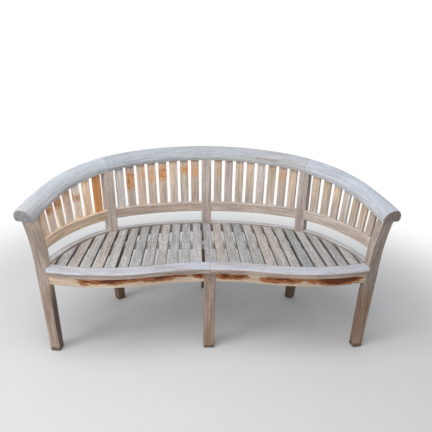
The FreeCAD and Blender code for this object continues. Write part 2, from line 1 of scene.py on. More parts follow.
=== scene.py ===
"""Looks of a weathered three-seat garden bench in teak with a curved back.

The bench stands on z = 0 and faces -Y. Plans and sections are worked out in
millimetres from the same driving sizes as the solid model and turned into
metres when a mesh is made. Every visible length of wood is a closed skin with
rounded, worn edges, and carries the paintwork that its finish reads: where
the grain runs, how the wood is tinted, where light and shade are painted on
it and where it is stained or worn.
"""
import logging
import math
from dataclasses import dataclass, replace
from enum import Enum
from typing import Callable, Optional, Sequence, Union

import bpy
import numpy as np
from mathutils import Matrix, Vector


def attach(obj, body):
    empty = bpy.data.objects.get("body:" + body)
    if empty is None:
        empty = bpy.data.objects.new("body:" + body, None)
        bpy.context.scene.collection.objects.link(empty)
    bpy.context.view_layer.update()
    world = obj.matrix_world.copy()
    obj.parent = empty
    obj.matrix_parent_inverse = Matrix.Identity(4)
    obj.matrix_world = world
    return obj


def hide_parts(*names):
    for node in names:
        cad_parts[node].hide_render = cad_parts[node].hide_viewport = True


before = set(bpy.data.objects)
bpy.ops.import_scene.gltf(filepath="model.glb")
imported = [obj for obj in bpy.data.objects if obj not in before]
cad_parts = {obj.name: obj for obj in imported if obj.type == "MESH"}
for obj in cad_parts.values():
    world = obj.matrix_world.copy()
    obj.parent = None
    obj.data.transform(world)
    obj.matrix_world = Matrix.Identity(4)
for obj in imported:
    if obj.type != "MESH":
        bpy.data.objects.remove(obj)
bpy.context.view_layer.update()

log = logging.getLogger("bench")

Array = np.ndarray
Colour = tuple[float, float, float]
Place = Callable[[Array, Array, Array], Array]
Level = tuple[Array, float, float]
MILLIMETRE = 0.001
SKIN_INSET = 0.15  # how far a skin lies inside its solid where both are flush, in millimetres
MIX_SHARE, MIX_FIRST, MIX_SECOND, MIX_RESULT = 0, 6, 7, 2  # colour sockets of a Mix node


def paint(red: int, green: int, blue: int) -> Colour:
    """A colour from its everyday 0 to 255 numbers, as amounts of light.

    A share of 255 is divided by 12.92 where it is dark; elsewhere 0.055 is
    added, the sum divided by 1.055 and the result raised to the power 2.4.

    Args:
        red: Red from 0 to 255.
        green: Green from 0 to 255.
        blue: Blue from 0 to 255.

    Returns:
        Amounts of red, green and blue light from 0 to 1.
    """
    shares = np.array((red, green, blue)) / 255
    light = np.where(shares <= 0.04045, shares / 12.92, ((shares + 0.055) / 1.055) ** 2.4)
    return tuple(float(value) for value in light)


def raised(plan: Array, z: Array) -> Array:
    """Points in space from points in plan and their heights."""
    return np.concatenate([plan, z[..., None]], -1)


# Sizes and the lines that every piece is laid out on

@dataclass(frozen=True)
class Sizes:
    """Driving sizes of the bench in millimetres and degrees."""

    overall_width: float = 1600.0
    back_height: float = 826.0
    rail_fall: float = 127.0
    seat_height: float = 440.0
    rail_width: float = 81.0
    rail_thickness: float = 52.0
    rail_inner_edge: float = 15.0
    rail_shoulder_radius: float = 30.0
    rail_under_radius: float = 13.0
    rail_arcs: tuple[float, ...] = (995.0, 23.3, 73.8, 1780.0, 80.6)
    seat_arcs: tuple[float, ...] = (1033.0, 27.4, 53.2, 715.0, 80.0)
    front_arcs: tuple[float, ...] = (1041.0, 13.5, 881.0)
    front_end_overhang: float = 27.0
    post_width: float = 50.0
    post_depth: float = 46.0
    foot_width: float = 44.0
    foot_depth: float = 40.0
    post_share: float = 0.51
    post_seat_share: float = 0.53
    post_rake: float = 60.0
    end_leg_width: float = 49.0
    end_leg_foot_depth: float = 43.0
    end_leg_flare: float = 22.0
    arm_end_overhang: float = 3.0
    rail_setback: float = 2.0
    front_leg_setback: float = 24.0
    front_leg_depth: float = 50.0
    straight_below_seat: float = 80.0
    housing_depth: float = 8.0
    lower_rail_top: float = 550.0
    lower_rail_height: float = 48.0
    lower_rail_thickness: float = 26.0
    back_slat_width: float = 41.0
    back_slat_thickness: float = 13.0
    back_slat_setback: float = 8.0
    back_slat_depth_in_rail: float = 9.0
    rear_rail_thickness: float = 32.0
    rear_rail_height: float = 56.0
    rear_rail_rise: float = 8.0
    nosing_width: float = 68.0
    nosing_thickness: float = 26.0
    nosing_corner_cut: float = 12.0
    apron_setback: float = 30.0
    apron_thickness: float = 22.0
    apron_height: float = 54.0
    seat_slat_width: float = 41.0
    seat_slat_thickness: float = 20.0
    slats_each_side: int = 13
    fit_gap: float = 0.3


class PlanCurve:
    """Arcs that flow into each other, the same on both sides of x = 0.

    Stations are lengths along the curve from its middle and offsets are
    positive towards the back of the bench, both in millimetres.
    """

    halvings = 40

    def __init__(self, arcs: Sequence[tuple[float, float]], middle_y: float = 0.0) -> None:
        """Lay the arcs end to end.

        Args:
            arcs: Radius and turn in degrees of each arc; a negative radius
                bends the other way.
            middle_y: Where the curve crosses x = 0.
        """
        point, heading, start = np.array([0.0, middle_y]), 0.0, 0.0
        rows = []
        for radius, turn in arcs:
            centre = point - self.across(heading) * radius
            rows.append((start, radius, heading, *centre))
            start += abs(radius) * math.radians(turn)
            heading += math.copysign(math.radians(turn), radius)
            point = centre + self.across(heading) * radius
        self.arcs = np.array(rows)
        self.half_length = start
        self.end = point

    @staticmethod
    def across(heading: Union[float, Array]) -> Array:
        """Unit vectors in plan square to the curve, towards the back."""
        return np.stack([np.sin(heading), np.cos(heading)], -1)

    @staticmethod
    def along(heading: float) -> Array:
        """Unit vector in plan along the curve, towards its right end."""
        return np.array([math.cos(heading), -math.sin(heading)])

    def heading(self, station: Union[float, Array]) -> Array:
        """Angle that the curve has turned from +X towards -Y at each station."""
        start, radius, heading = self.arc_at(station)[:3]
        return np.sign(station) * (heading + (np.abs(station) - start) / radius)

    def arc_at(self, station: Union[float, Array]) -> Array:
        """Numbers of the arc that holds each station; the last one runs on."""
        which = np.searchsorted(self.arcs[:, 0], np.abs(station), side="right") - 1
        return np.moveaxis(self.arcs[np.clip(which, 0, len(self.arcs) - 1)], -1, 0)

    def place(self, station: Union[float, Array], offset: Union[float, Array] = 0.0) -> Array:
        """Points in plan at stations, moved sideways by offsets.

        On an arc, a point is its centre plus the radius and offset together
        along the direction from the centre at that station.

        Args:
            station: Lengths along the curve.
            offset: Distances from the curve, of a shape that fits the stations.

        Returns:
            Points in plan, with x and y along the last axis.
        """
        station, offset = np.broadcast_arrays(np.asarray(station, float), offset)
        start, radius, heading, centre_x, centre_y = self.arc_at(station)
        turned = heading + (np.abs(station) - start) / radius
        reach = (radius + offset)[..., None]
        point = np.stack([centre_x, centre_y], -1) + self.across(turned) * reach
        point[..., 0] *= np.where(station < 0, -1.0, 1.0)
        return point

    def reaches(self, offset: Union[float, Array], point: Array, outward: Array) -> Array:
        """Stations where the right half, at offsets, reaches an upright plane.

        Args:
            offset: Distances from the curve.
            point: Any point of the plane, in plan.
            outward: The plane's direction away from the middle, in plan.

        Returns:
            One station for each offset, found by halving.
        """
        offset = np.asarray(offset, float)
        low, high = np.zeros_like(offset), np.full_like(offset, 2 * self.half_length)
        for _ in range(self.halvings):
            middle = (low + high) / 2
            before = (self.place(middle, offset) - point) @ outward < 0
            low, high = np.where(before, middle, low), np.where(before, high, middle)
        return low


def flowing_arcs(arcs: Sequence[float], half_width: float) -> list[tuple[float, float]]:
    """Three arcs of a back whose middle radius makes them end at half_width.

    The end's distance from x = 0 is the sum of each radius times the growth
    of the sine of its angle, which gives the radius that isn't set.

    Args:
        arcs: Crown radius and angle, side angle, arm radius and angle.
        half_width: Distance of the curve's end from x = 0.

    Returns:
        Radius and turn of the crown, the side and the arm.
    """
    crown_radius, crown_angle, side_angle, arm_radius, arm_angle = arcs
    first, second, third = np.sin(np.radians([crown_angle, side_angle, arm_angle]))
    rest = half_width - crown_radius * first - arm_radius * (third - second)
    return [(crown_radius, crown_angle), (rest / (second - first), side_angle - crown_angle),
            (arm_radius, arm_angle - side_angle)]


class Layout:
    """Plans, heights and leaning lines that the pieces share."""

    inner_edge_round = 2.0
    dome_edge_round = 3.0
    shortest_side = 0.5

    def __init__(self, sizes: Sizes) -> None:
        """Work out the three plans and the top rail's sloping plane.

        The rail's plan ends where the arm's outer edge reaches half the
        overall width. The front's hollow arc flows into a full one, which
        turns until it is as far out as the end leg's inner corner, where it
        lies an overhang in front of it. The back of the seat ends at that
        leg's inner rear corner. The depth runs from the crown's outer edge to
        the front's foremost point, and y = 0 is its middle.

        Args:
            sizes: Driving sizes of the bench.
        """
        self.sizes = sizes
        self.half_rail = sizes.rail_width / 2
        arm = math.radians(sizes.rail_arcs[-1])
        self.leg_along = PlanCurve.along(arm)
        self.leg_across = PlanCurve.across(arm)
        half_width = sizes.overall_width / 2 - self.half_rail * math.sin(arm)
        arcs = flowing_arcs(sizes.rail_arcs, half_width)
        flat = PlanCurve(arcs)
        self.rail_slope = sizes.rail_fall / -flat.end[1]
        self.leg_station = flat.half_length - sizes.arm_end_overhang
        plain = flat.place(self.leg_station, sizes.rail_setback - self.half_rail)
        plain = plain - self.leg_across * sizes.end_leg_flare

        hollow_radius, hollow_angle, full_radius = sizes.front_arcs
        turn = math.radians(hollow_angle)
        full_x = (hollow_radius + full_radius) * math.sin(turn)
        full_y = -(hollow_radius + full_radius) * (1 - math.cos(turn))
        end_turn = math.asin((plain[0] - full_x) / full_radius)
        end_rise = full_radius * (1 - math.cos(end_turn))
        front_to_crown = plain[1] - sizes.front_end_overhang - full_y - end_rise
        self.depth = self.half_rail - (front_to_crown + full_y)
        self.crown_y = self.depth / 2 - self.half_rail
        self.rail_plan = PlanCurve(arcs, self.crown_y)
        self.front_plan = PlanCurve([(hollow_radius, hollow_angle),
                                     (-full_radius, hollow_angle + math.degrees(end_turn))],
                                    self.crown_y + front_to_crown)
        self.corner = plain + np.array([0.0, self.crown_y])
        behind = self.corner - self.leg_along * sizes.post_depth
        arcs = flowing_arcs(sizes.seat_arcs, behind[0])
        self.seat_plan = PlanCurve(arcs, behind[1] - PlanCurve(arcs).end[1])
        self.slat_pitch = float(self.corner[0]) / sizes.slats_each_side
        self.back_length = self.leg_station - sizes.post_depth
        self.joint_station = sizes.post_share * self.back_length
        self.rear_rail_top = sizes.seat_height + sizes.rear_rail_rise
        outline = self.rail_outline()
        self.rail_base = sizes.back_height - max(up + self.rail_slope * across
                                                 for across, up, _ in outline)

    def rail_outline(self, steps: int = 12) -> list[tuple[float, float, float]]:
        """The top rail's section: flat base, full round back and low dome.

        The dome is one arc that starts level over the shoulder's middle and
        comes down to the inner edge, so its radius is run squared plus rise
        squared over twice the rise.

        Args:
            steps: Points on each rounding.

        Returns:
            Distance across, height and rounding radius of each corner.
        """
        sizes, half = self.sizes, self.half_rail
        middle = half - sizes.rail_shoulder_radius
        rise, run = sizes.rail_thickness - sizes.rail_inner_edge, middle + half
        dome = (run ** 2 + rise ** 2) / (2 * rise)
        fall = math.degrees(math.asin(run / dome))
        bends = ((half - sizes.rail_under_radius, sizes.rail_under_radius,
                  sizes.rail_under_radius, -90, 0),
                 (middle, sizes.rail_thickness - sizes.rail_shoulder_radius,
                  sizes.rail_shoulder_radius, 0, 90),
                 (middle, sizes.rail_thickness - dome, dome, 90, 90 + fall))
        corners = [(-half, 0.0, self.inner_edge_round)]
        for across, up, radius, start, end in bends:
            for angle in np.radians(np.linspace(start, end, steps)):
                corner = (across + radius * math.cos(angle), up + radius * math.sin(angle), 0.0)
                if math.dist(corner[:2], corners[-1][:2]) > self.shortest_side:
                    corners.append(corner)
        corners[-1] = (*corners[-1][:2], self.dome_edge_round)
        return corners

    def rail_under(self, y: Union[float, Array]) -> Array:
        """Height of the top rail's underside at a distance from front to back."""
        return self.rail_base + self.rail_slope * (y - self.crown_y)

    def seat_station(self, share: Union[float, Array]) -> Array:
        """Station on the back of the seat below a share of the way along the rail.

        The posts stand at a share of their own on each curve. From the middle
        to the posts, on to the end legs and beyond, the share of the seat's
        curve grows evenly with the share of the rail's.

        Args:
            share: Shares of the way from the middle to an end leg, negative
                on the left.

        Returns:
            Stations on the seat's curve, with the signs of the shares.
        """
        shares = (0.0, self.sizes.post_share, 1.0, 2.0)
        below = (0.0, self.sizes.post_seat_share, 1.0)
        below += (1.0 + (1.0 - below[1]) / (1.0 - shares[1]),)
        reached = np.interp(np.abs(share), shares, below)
        return np.sign(share) * reached * self.seat_plan.half_length

    def back_line(self, share: Union[float, Array]) -> tuple[Array, Array]:
        """Lowest and highest points of the back's front surface at shares.

        The lowest lies on the seat's curve at the rear rail's top, and the
        highest a setback behind the top rail's front edge, at its underside.

        Args:
            share: Shares of the way from the middle to an end leg.

        Returns:
            The lowest and the highest points in space.
        """
        low = self.seat_plan.place(self.seat_station(share))
        high = self.rail_plan.place(share * self.back_length,
                                    self.sizes.rail_setback - self.half_rail)
        lowest = np.concatenate([low, np.full_like(low[..., :1], self.rear_rail_top)], -1)
        return lowest, np.concatenate([high, self.rail_under(high[..., 1:])], -1)

    def back_point(self, share: float, z: float, setback: float = 0.0) -> Array:
        """Point on the leaning front surface of the back, moved back by a setback.

        It lies on the straight line from the lowest to the highest point
        there, and is then moved level and square to the rail's curve.

        Args:
            share: Share of the way from the middle to an end leg.
            z: Height of the point.
            setback: Distance behind the surface.

        Returns:
            The point in space.
        """
        low, high = self.back_line(share)
        point = low + (high - low) * ((z - low[2]) / (high[2] - low[2]))
        across = PlanCurve.across(self.rail_plan.heading(share * self.back_length))
        return point + np.append(across, 0.0) * setback

    def slat_shares(self, first: float, last: float, count: int) -> Array:
        """Middle of each back slat, spaced evenly between two stations.

        What the slats leave free is shared out in equal gaps, one more than
        there are slats.

        Args:
            first: Station where the panel starts.
            last: Station where the panel ends.
            count: Number of slats.

        Returns:
            Each slat's share of the way from the middle to an end leg.
        """
        width = self.sizes.back_slat_width
        gap = (last - first - count * width) / (count + 1)
        return (first + gap + width / 2 + np.arange(count) * (width + gap)) / self.back_length


# Paintwork: what a length of wood carries besides its shape

class Tint(Enum):
    """How one length of wood differs from its finish, as a colour to multiply by."""

    PLAIN = (1.0, 1.0, 1.0)
    PALE = (1.22, 1.3, 1.38)
    CREAM = (1.28, 1.16, 0.98)
    COOL = (0.97, 1.01, 1.06)
    LILAC = (0.95, 0.93, 0.98)
    PEACH = (1.13, 0.96, 0.8)
    PINK = (1.02, 0.95, 0.92)
    SALLOW = (1.06, 1.0, 0.82)
    ORANGE = (0.95, 0.53, 0.24)
    BROWN = (0.8, 0.68, 0.58)
    # painted shade, for wood under the seat
    UNDER_SEAT_SHADE = (0.45, 0.37, 0.3)
    GREY = (0.86, 0.89, 0.92)


@dataclass(frozen=True)
class Stain:
    """A patch where the silvered surface has gone and darker wood shows.

    Attributes:
        along: Middle of the patch, as a share of the length.
        reach: Half its length, as a share of the length.
        strength: How much wood shows, 1 or more where it has gone deep.
        across: Middle of the patch, as a share of the section's height.
        spread: Half its width, as a share of the section's height.
    """

    along: float
    reach: float
    strength: float = 1.0
    across: float = 0.5
    spread: float = 2.0

    def amount(self, along: Array, across: Array) -> Array:
        """Strength of the patch, which falls off as a bell from its middle.

        The distances from the middle are divided by the reach and the spread
        and squared, and e to the power of minus their sum is multiplied by
        the strength.

        Args:
            along: Shares of the length.
            across: Shares of the section's height.

        Returns:
            Strength of the patch at each place.
        """
        distance = ((along - self.along) / self.reach) ** 2
        distance = distance + ((across - self.across) / self.spread) ** 2
        return self.strength * np.exp(-distance)


def patches(*rows: tuple[float, ...]) -> tuple[Stain, ...]:
    """Stains from rows of their numbers."""
    return tuple(Stain(*row) for row in rows)


@dataclass(frozen=True)
class Look:
    """Tint, stains and painted light and shade of one length of wood.

    Attributes:
        tint: How the wood differs from its finish.
        stains: Patches of bare or rotten wood.
        shade: Brightness as a share of the finish.
        far: How the far end differs, where the tint changes along the wood.
        turn: Shares of the length between which the tint changes.
        gap_shade: Painted shade: how much darker the wood is deep in the gaps beside it.
        inner: Painted light and shade on the side where the section's distances
        are lowest, given as its brightness at the near and the far end.
    """

    tint: Tint = Tint.PLAIN
    stains: tuple[Stain, ...] = ()
    shade: float = 1.0
    far: Optional[Tint] = None
    turn: tuple[float, float] = (0.0, 1.0)
    gap_shade: float = 0.0
    inner: tuple[float, float] = (1.0, 1.0)

    gap_shade_power = 0.6
    inner_edge = (0.01, 0.06)  # shares of the width over which the inner side ends

    def colour(self, along: Array, depth: Array, sideways: Array) -> Array:
        """Colour to multiply the finish by, at shares of the length and section.

        It runs evenly from the near tint to the far one, loses a share to painted
        shade on the way into a gap, and takes painted light and shade on the inner
        side alone.

        Args:
            along: Share of the length.
            depth: Share of the way from the seen face into the gap beside it.
            sideways: Share of the section's width, from its inner side.

        Returns:
            Amounts of red, green and blue along the last axis.
        """
        near, far = (np.array(tint.value) for tint in (self.tint, self.far or self.tint))
        share = np.interp(along, self.turn, (0.0, 1.0))
        # painted shade: darker the deeper a point lies in the gap beside the seen face
        shade = self.shade * (1 - self.gap_shade * depth ** self.gap_shade_power)
        # painted light and shade on the inner side, changing from the near end to the far one
        inner = self.inner[0] + (self.inner[1] - self.inner[0]) * share
        outside = np.interp(sideways, self.inner_edge, (0.0, 1.0))
        shade = shade * (inner + (1 - inner) * outside)
        return (near + (far - near) * share[..., None]) * shade[..., None]


# Shapes: a section, a skin round it and the mesh of one piece

@dataclass(frozen=True)
class Section:
    """Outline of a length of wood in millimetres, with its worn corners."""

    points: Array
    wear: Array

    @classmethod
    def rounded(cls, corners: Sequence[tuple[float, float, float]], spacing: float = 14.0,
                steps: int = 4) -> "Section":
        """Round a polygon's corners and divide its long sides.

        A rounding of radius r takes r times the tangent of half the corner's
        turn off both sides, and its points lie on the circle that touches
        both. Sides longer than the spacing get points in between.

        Args:
            corners: Across, up and radius of each corner, in order.
            spacing: Longest undivided side.
            steps: Points on each rounding.

        Returns:
            The section, with a wear of 1 in the middle of each rounding.
        """
        points, wear = [], []
        places = np.array([corner[:2] for corner in corners], float)
        for i, (_, _, radius) in enumerate(corners):
            here = places[i]
            if not radius:
                points.append(here)
                wear.append(0.0)
                continue
            before = places[i - 1] - here
            after = places[(i + 1) % len(corners)] - here
            before, after = before / np.linalg.norm(before), after / np.linalg.norm(after)
            half = math.acos(np.clip(before @ after, -1, 1)) / 2
            middle = (before + after) / np.linalg.norm(before + after)
            centre = here + middle * (radius / math.sin(half))
            start = here + before * (radius / math.tan(half)) - centre
            end = here + after * (radius / math.tan(half)) - centre
            for share in np.linspace(0, 1, steps):
                spoke = start * (1 - share) + end * share
                points.append(centre + spoke / np.linalg.norm(spoke) * radius)
                wear.append(math.sin(math.pi * share))
        divided, worn = [], []
        for i, here in enumerate(points):
            after = points[(i + 1) % len(points)]
            count = max(1, math.ceil(np.linalg.norm(after - here) / spacing))
            for share in np.arange(count) / count:
                divided.append(here * (1 - share) + after * share)
                worn.append(wear[i] if share == 0 else 0.0)
        return cls(np.array(divided), np.array(worn))

    @classmethod
    def board(cls, left: float, right: float, bottom: float, top: float, radius: float = 2.0,
              spacing: float = 14.0) -> "Section":
        """Rectangle with one small rounding at every corner."""
        corners = ((left, bottom), (right, bottom), (right, top), (left, top))
        return cls.rounded([(*corner, radius) for corner in corners], spacing)

    def inset(self, distance: float) -> Array:
        """The outline drawn in towards its middle by a distance."""
        inward = self.points - self.middle
        return self.points - inward / np.linalg.norm(inward, axis=1)[:, None] * distance

    def slimmer(self, distance: float) -> "Section":
        """The same section, drawn in towards its middle by a distance."""
        return Section(self.inset(distance), self.wear)

    @property
    def middle(self) -> Array:
        """Middle of the outline's box."""
        return (self.points.min(0) + self.points.max(0)) / 2


@dataclass
class Skin:
    """Closed skin of one length of wood, as rows of points round its section.

    Attributes:
        points: Places in millimetres, by row and by point round the section.
        along: Distance along the grain of each point.
        section: Distance across and height of each point in its section.
        wear: 1 on a worn corner and 0 on a flat side.
        end: 1 on the end grain and 0 on the sides.
    """

    points: Array
    along: Array
    section: Array
    wear: Array
    end: Array

    end_angles = (90.0, 62.0, 34.0)
    end_grain_power = 3

    @classmethod
    def stretched(cls, section: Section, place: Place, first: Union[float, Array],
                  last: Union[float, Array], pitch: float = 20.0,
                  ends: tuple[float, float] = (1.5, 1.5)) -> "Skin":
        """Stretch a section between two ends, with the ends' edges rounded.

        An end's rounding of radius r is a quarter circle: at an angle a the
        outline is drawn in by r (1 - cos a) and lies r (1 - sin a) before the
        very end, with a going from 0 on the side to 90 degrees on the end.

        Args:
            section: Outline of the wood.
            place: Puts stations, distances across and heights in space.
            first: Station of the near end, one for all or one for each point
                of the section where the end is cut at an angle.
            last: Station of the far end.
            pitch: Greatest distance between two rows.
            ends: Radius of the rounding at the near and the far end.

        Returns:
            The skin, with rows from the near end to the far end.
        """
        first = np.broadcast_to(np.asarray(first, float), section.wear.shape)
        last = np.broadcast_to(np.asarray(last, float), section.wear.shape)
        near, far = ([(very_end + radius * (1 - math.sin(a)), abs(radius) * (1 - math.cos(a)),
                       math.sin(a)) for a in np.radians(cls.end_angles)]
                     for very_end, radius in ((first, ends[0]), (last, -ends[1])))
        start, stop = first + ends[0], last - ends[1]
        count = max(2, math.ceil(np.abs(stop - start).max() / pitch) + 1)
        body = [(start + (stop - start) * share, 0.0, 0.0) for share in np.linspace(0, 1, count)]
        rows = near + body + far[::-1]
        station = np.array([row[0] for row in rows])
        outline = np.array([section.inset(row[1]) for row in rows])
        end = np.array([np.full(len(section.wear), row[2] ** cls.end_grain_power) for row in rows])
        worn = np.array([[math.sin(2 * math.asin(row[2]))] for row in rows])
        wear = np.maximum(section.wear, worn)
        return cls(place(station, outline[..., 0], outline[..., 1]), station, outline, wear, end)

    def flat_points(self) -> Array:
        """All points in one list, the middles of both ends last."""
        return self.listed(self.points)

    def listed(self, values: Array) -> Array:
        """Values of all points in one list, the ends' mean values last."""
        rows = values.reshape(-1, *values.shape[2:])
        return np.concatenate([rows, values[:1].mean(1), values[-1:].mean(1)])

    def faces(self, start: int) -> list[list[int]]:
        """Corners of the faces, counted from a starting number, facing outwards.

        The volume of a closed skin is a sixth of the sum, over its triangles,
        of one corner times the cross product of the other two. It is negative
        where the faces point inwards, and then they are all turned round.

        Args:
            start: Number of the skin's first point in its mesh.

        Returns:
            Corners of each face: the sides first, then the two ends.
        """
        rows, around = self.along.shape
        grid = np.arange(rows * around).reshape(rows, around)
        turned = np.roll(grid, -1, 1)
        quads = np.stack([grid[:-1], turned[:-1], turned[1:], grid[1:]], -1).reshape(-1, 4)
        caps = [np.stack([grid[row], turned[row], np.full(around, rows * around + which)], -1)
                for row, which in ((0, 0), (-1, 1))]
        caps[0] = caps[0][:, ::-1]
        triangles = np.concatenate([quads[:, [0, 1, 2]], quads[:, [0, 2, 3]], *caps])
        first, second, third = np.moveaxis(self.flat_points()[triangles], 1, 0)
        made = [quads, *caps]
        if np.einsum("ij,ij->", first, np.cross(second, third)) < 0:
            made = [faces[:, ::-1] for faces in made]
        return [face for faces in made for face in (faces + start).tolist()]


class Timber:
    """Lengths of wood that together make one piece of the bench."""

    wear_depth = 0.5
    wave_lengths = (61.0, 23.0, 9.0)
    grain_shifts = (3.1, 0.7, 0.9)
    seeds = np.random.default_rng(19)

    def __init__(self, name: str, front_low: bool = False) -> None:
        """Start a piece of wood.

        Args:
            name: The piece in a maker's words.
            front_low: True where the seen face has the section's lowest
                heights, False where it has the highest.
        """
        self.name = name
        self.front_low = front_low
        self.lengths: list[tuple[Skin, Look]] = []

    def add(self, skin: Skin, look: Look = Look()) -> "Timber":
        """Add one length of wood with its tint, stains and painted light and shade."""
        self.lengths.append((skin, look))
        return self

    @staticmethod
    def shares(values: Array) -> Array:
        """Values as shares of their own range."""
        return (values - values.min()) / (values.max() - values.min())

    def worn(self, skin: Skin, phases: Array) -> Array:
        """Points of a skin with its corners rubbed down unevenly.

        The depth at a place along the wood is a sum of three waves with
        seeded phases, and counts only where the wear is.

        Args:
            skin: Skin of one length of wood.
            phases: Angle at which each wave starts.

        Returns:
            Its points, moved towards the middle of their row.
        """
        waves = sum(np.sin(skin.along / length + phase)
                    for length, phase in zip(self.wave_lengths, phases))
        waves = waves / (2 * len(self.wave_lengths)) + 0.5
        middle = skin.points.mean(1, keepdims=True)
        inward = middle - skin.points
        inward = inward / np.linalg.norm(inward, axis=-1, keepdims=True)
        return skin.points + inward * (skin.wear * waves * self.wear_depth)[..., None]

    def build(self, finish: "Teak", *nodes: str) -> bpy.types.Object:
        """Make the piece's mesh, dress it and let it stand for its solids.

        Args:
            finish: The weathered teak that it is made of.
            nodes: Names of the solids that the piece stands for.

        Returns:
            The finished object.
        """
        points, faces, carried = [], [], []
        for skin, look in self.lengths:
            phases = self.seeds.uniform(0, 2 * math.pi, len(self.wave_lengths))
            faces += skin.faces(sum(len(batch) for batch in points))
            points.append(skin.listed(self.worn(skin, phases)))
            along = self.shares(skin.along)
            sideways, across = (self.shares(skin.section[..., i]) for i in (0, 1))
            stain = sum((s.amount(along, across) for s in look.stains), np.zeros_like(along))
            grain = np.concatenate([skin.along[..., None], skin.section], -1) * MILLIMETRE
            depth = across if self.front_low else 1 - across
            # tint carries each length's tint together with its painted light and shade
            carried.append({"grain": skin.listed(grain) + phases * self.grain_shifts,
                            "tint": skin.listed(look.colour(along, depth, sideways)),
                            "stain": skin.listed(stain), "wear": skin.listed(skin.wear),
                            "end": skin.listed(skin.end)})
        piece = self.mesh(np.concatenate(points) * MILLIMETRE, faces)
        self.carry(piece.data, {name: np.concatenate([batch[name] for batch in carried])
                                for name in carried[0]})
        piece.data.materials.append(finish.material(Grain.CARRIED))
        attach(piece, "root")
        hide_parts(*nodes)
        log.info("%s: %d lengths of wood, %d faces", self.name, len(self.lengths), len(faces))
        return piece

    def mesh(self, points: Array, faces: list[list[int]]) -> bpy.types.Object:
        """Object with smooth shading that keeps the flat sides flat.

        Each point's direction is the sum of its faces' directions weighted by
        their areas, so a broad side outweighs the narrow roundings beside it.

        Args:
            points: Places in metres.
            faces: Corners of each face, three or four of them.

        Returns:
            The object, linked to the scene.
        """
        mesh = bpy.data.meshes.new(self.name)
        mesh.from_pydata(points.tolist(), [], faces)
        mesh.shade_smooth()
        normals = np.zeros_like(points)
        for size in (3, 4):
            corners = np.array([face for face in faces if len(face) == size])
            ends = points[corners[:, -1]] - points[corners[:, 1]]
            facing = np.cross(points[corners[:, 2]] - points[corners[:, 0]], ends)
            for i in range(size):
                np.add.at(normals, corners[:, i], facing)
        normals /= np.linalg.norm(normals, axis=1)[:, None] + 1e-12
        mesh.normals_split_custom_set_from_vertices(normals.tolist())
        piece = bpy.data.objects.new(self.name, mesh)
        bpy.context.collection.objects.link(piece)
        return piece

    @staticmethod
    def carry(mesh: bpy.types.Mesh, values: dict[str, Array]) -> None:
        """Write the paintwork's numbers on a mesh's points.

        Args:
            mesh: Mesh of one piece.
            values: One number, or three, for each point, by name.
        """
        for name, numbers in values.items():
            flat = numbers.ndim == 1
            kind, slot = ("FLOAT", "value") if flat else ("FLOAT_VECTOR", "vector")
            made = mesh.attributes.new(name, kind, "POINT")
            made.data.foreach_set(slot, numbers.astype(np.float32).ravel())


# Finishes: weathered teak as fields that vary over a surface

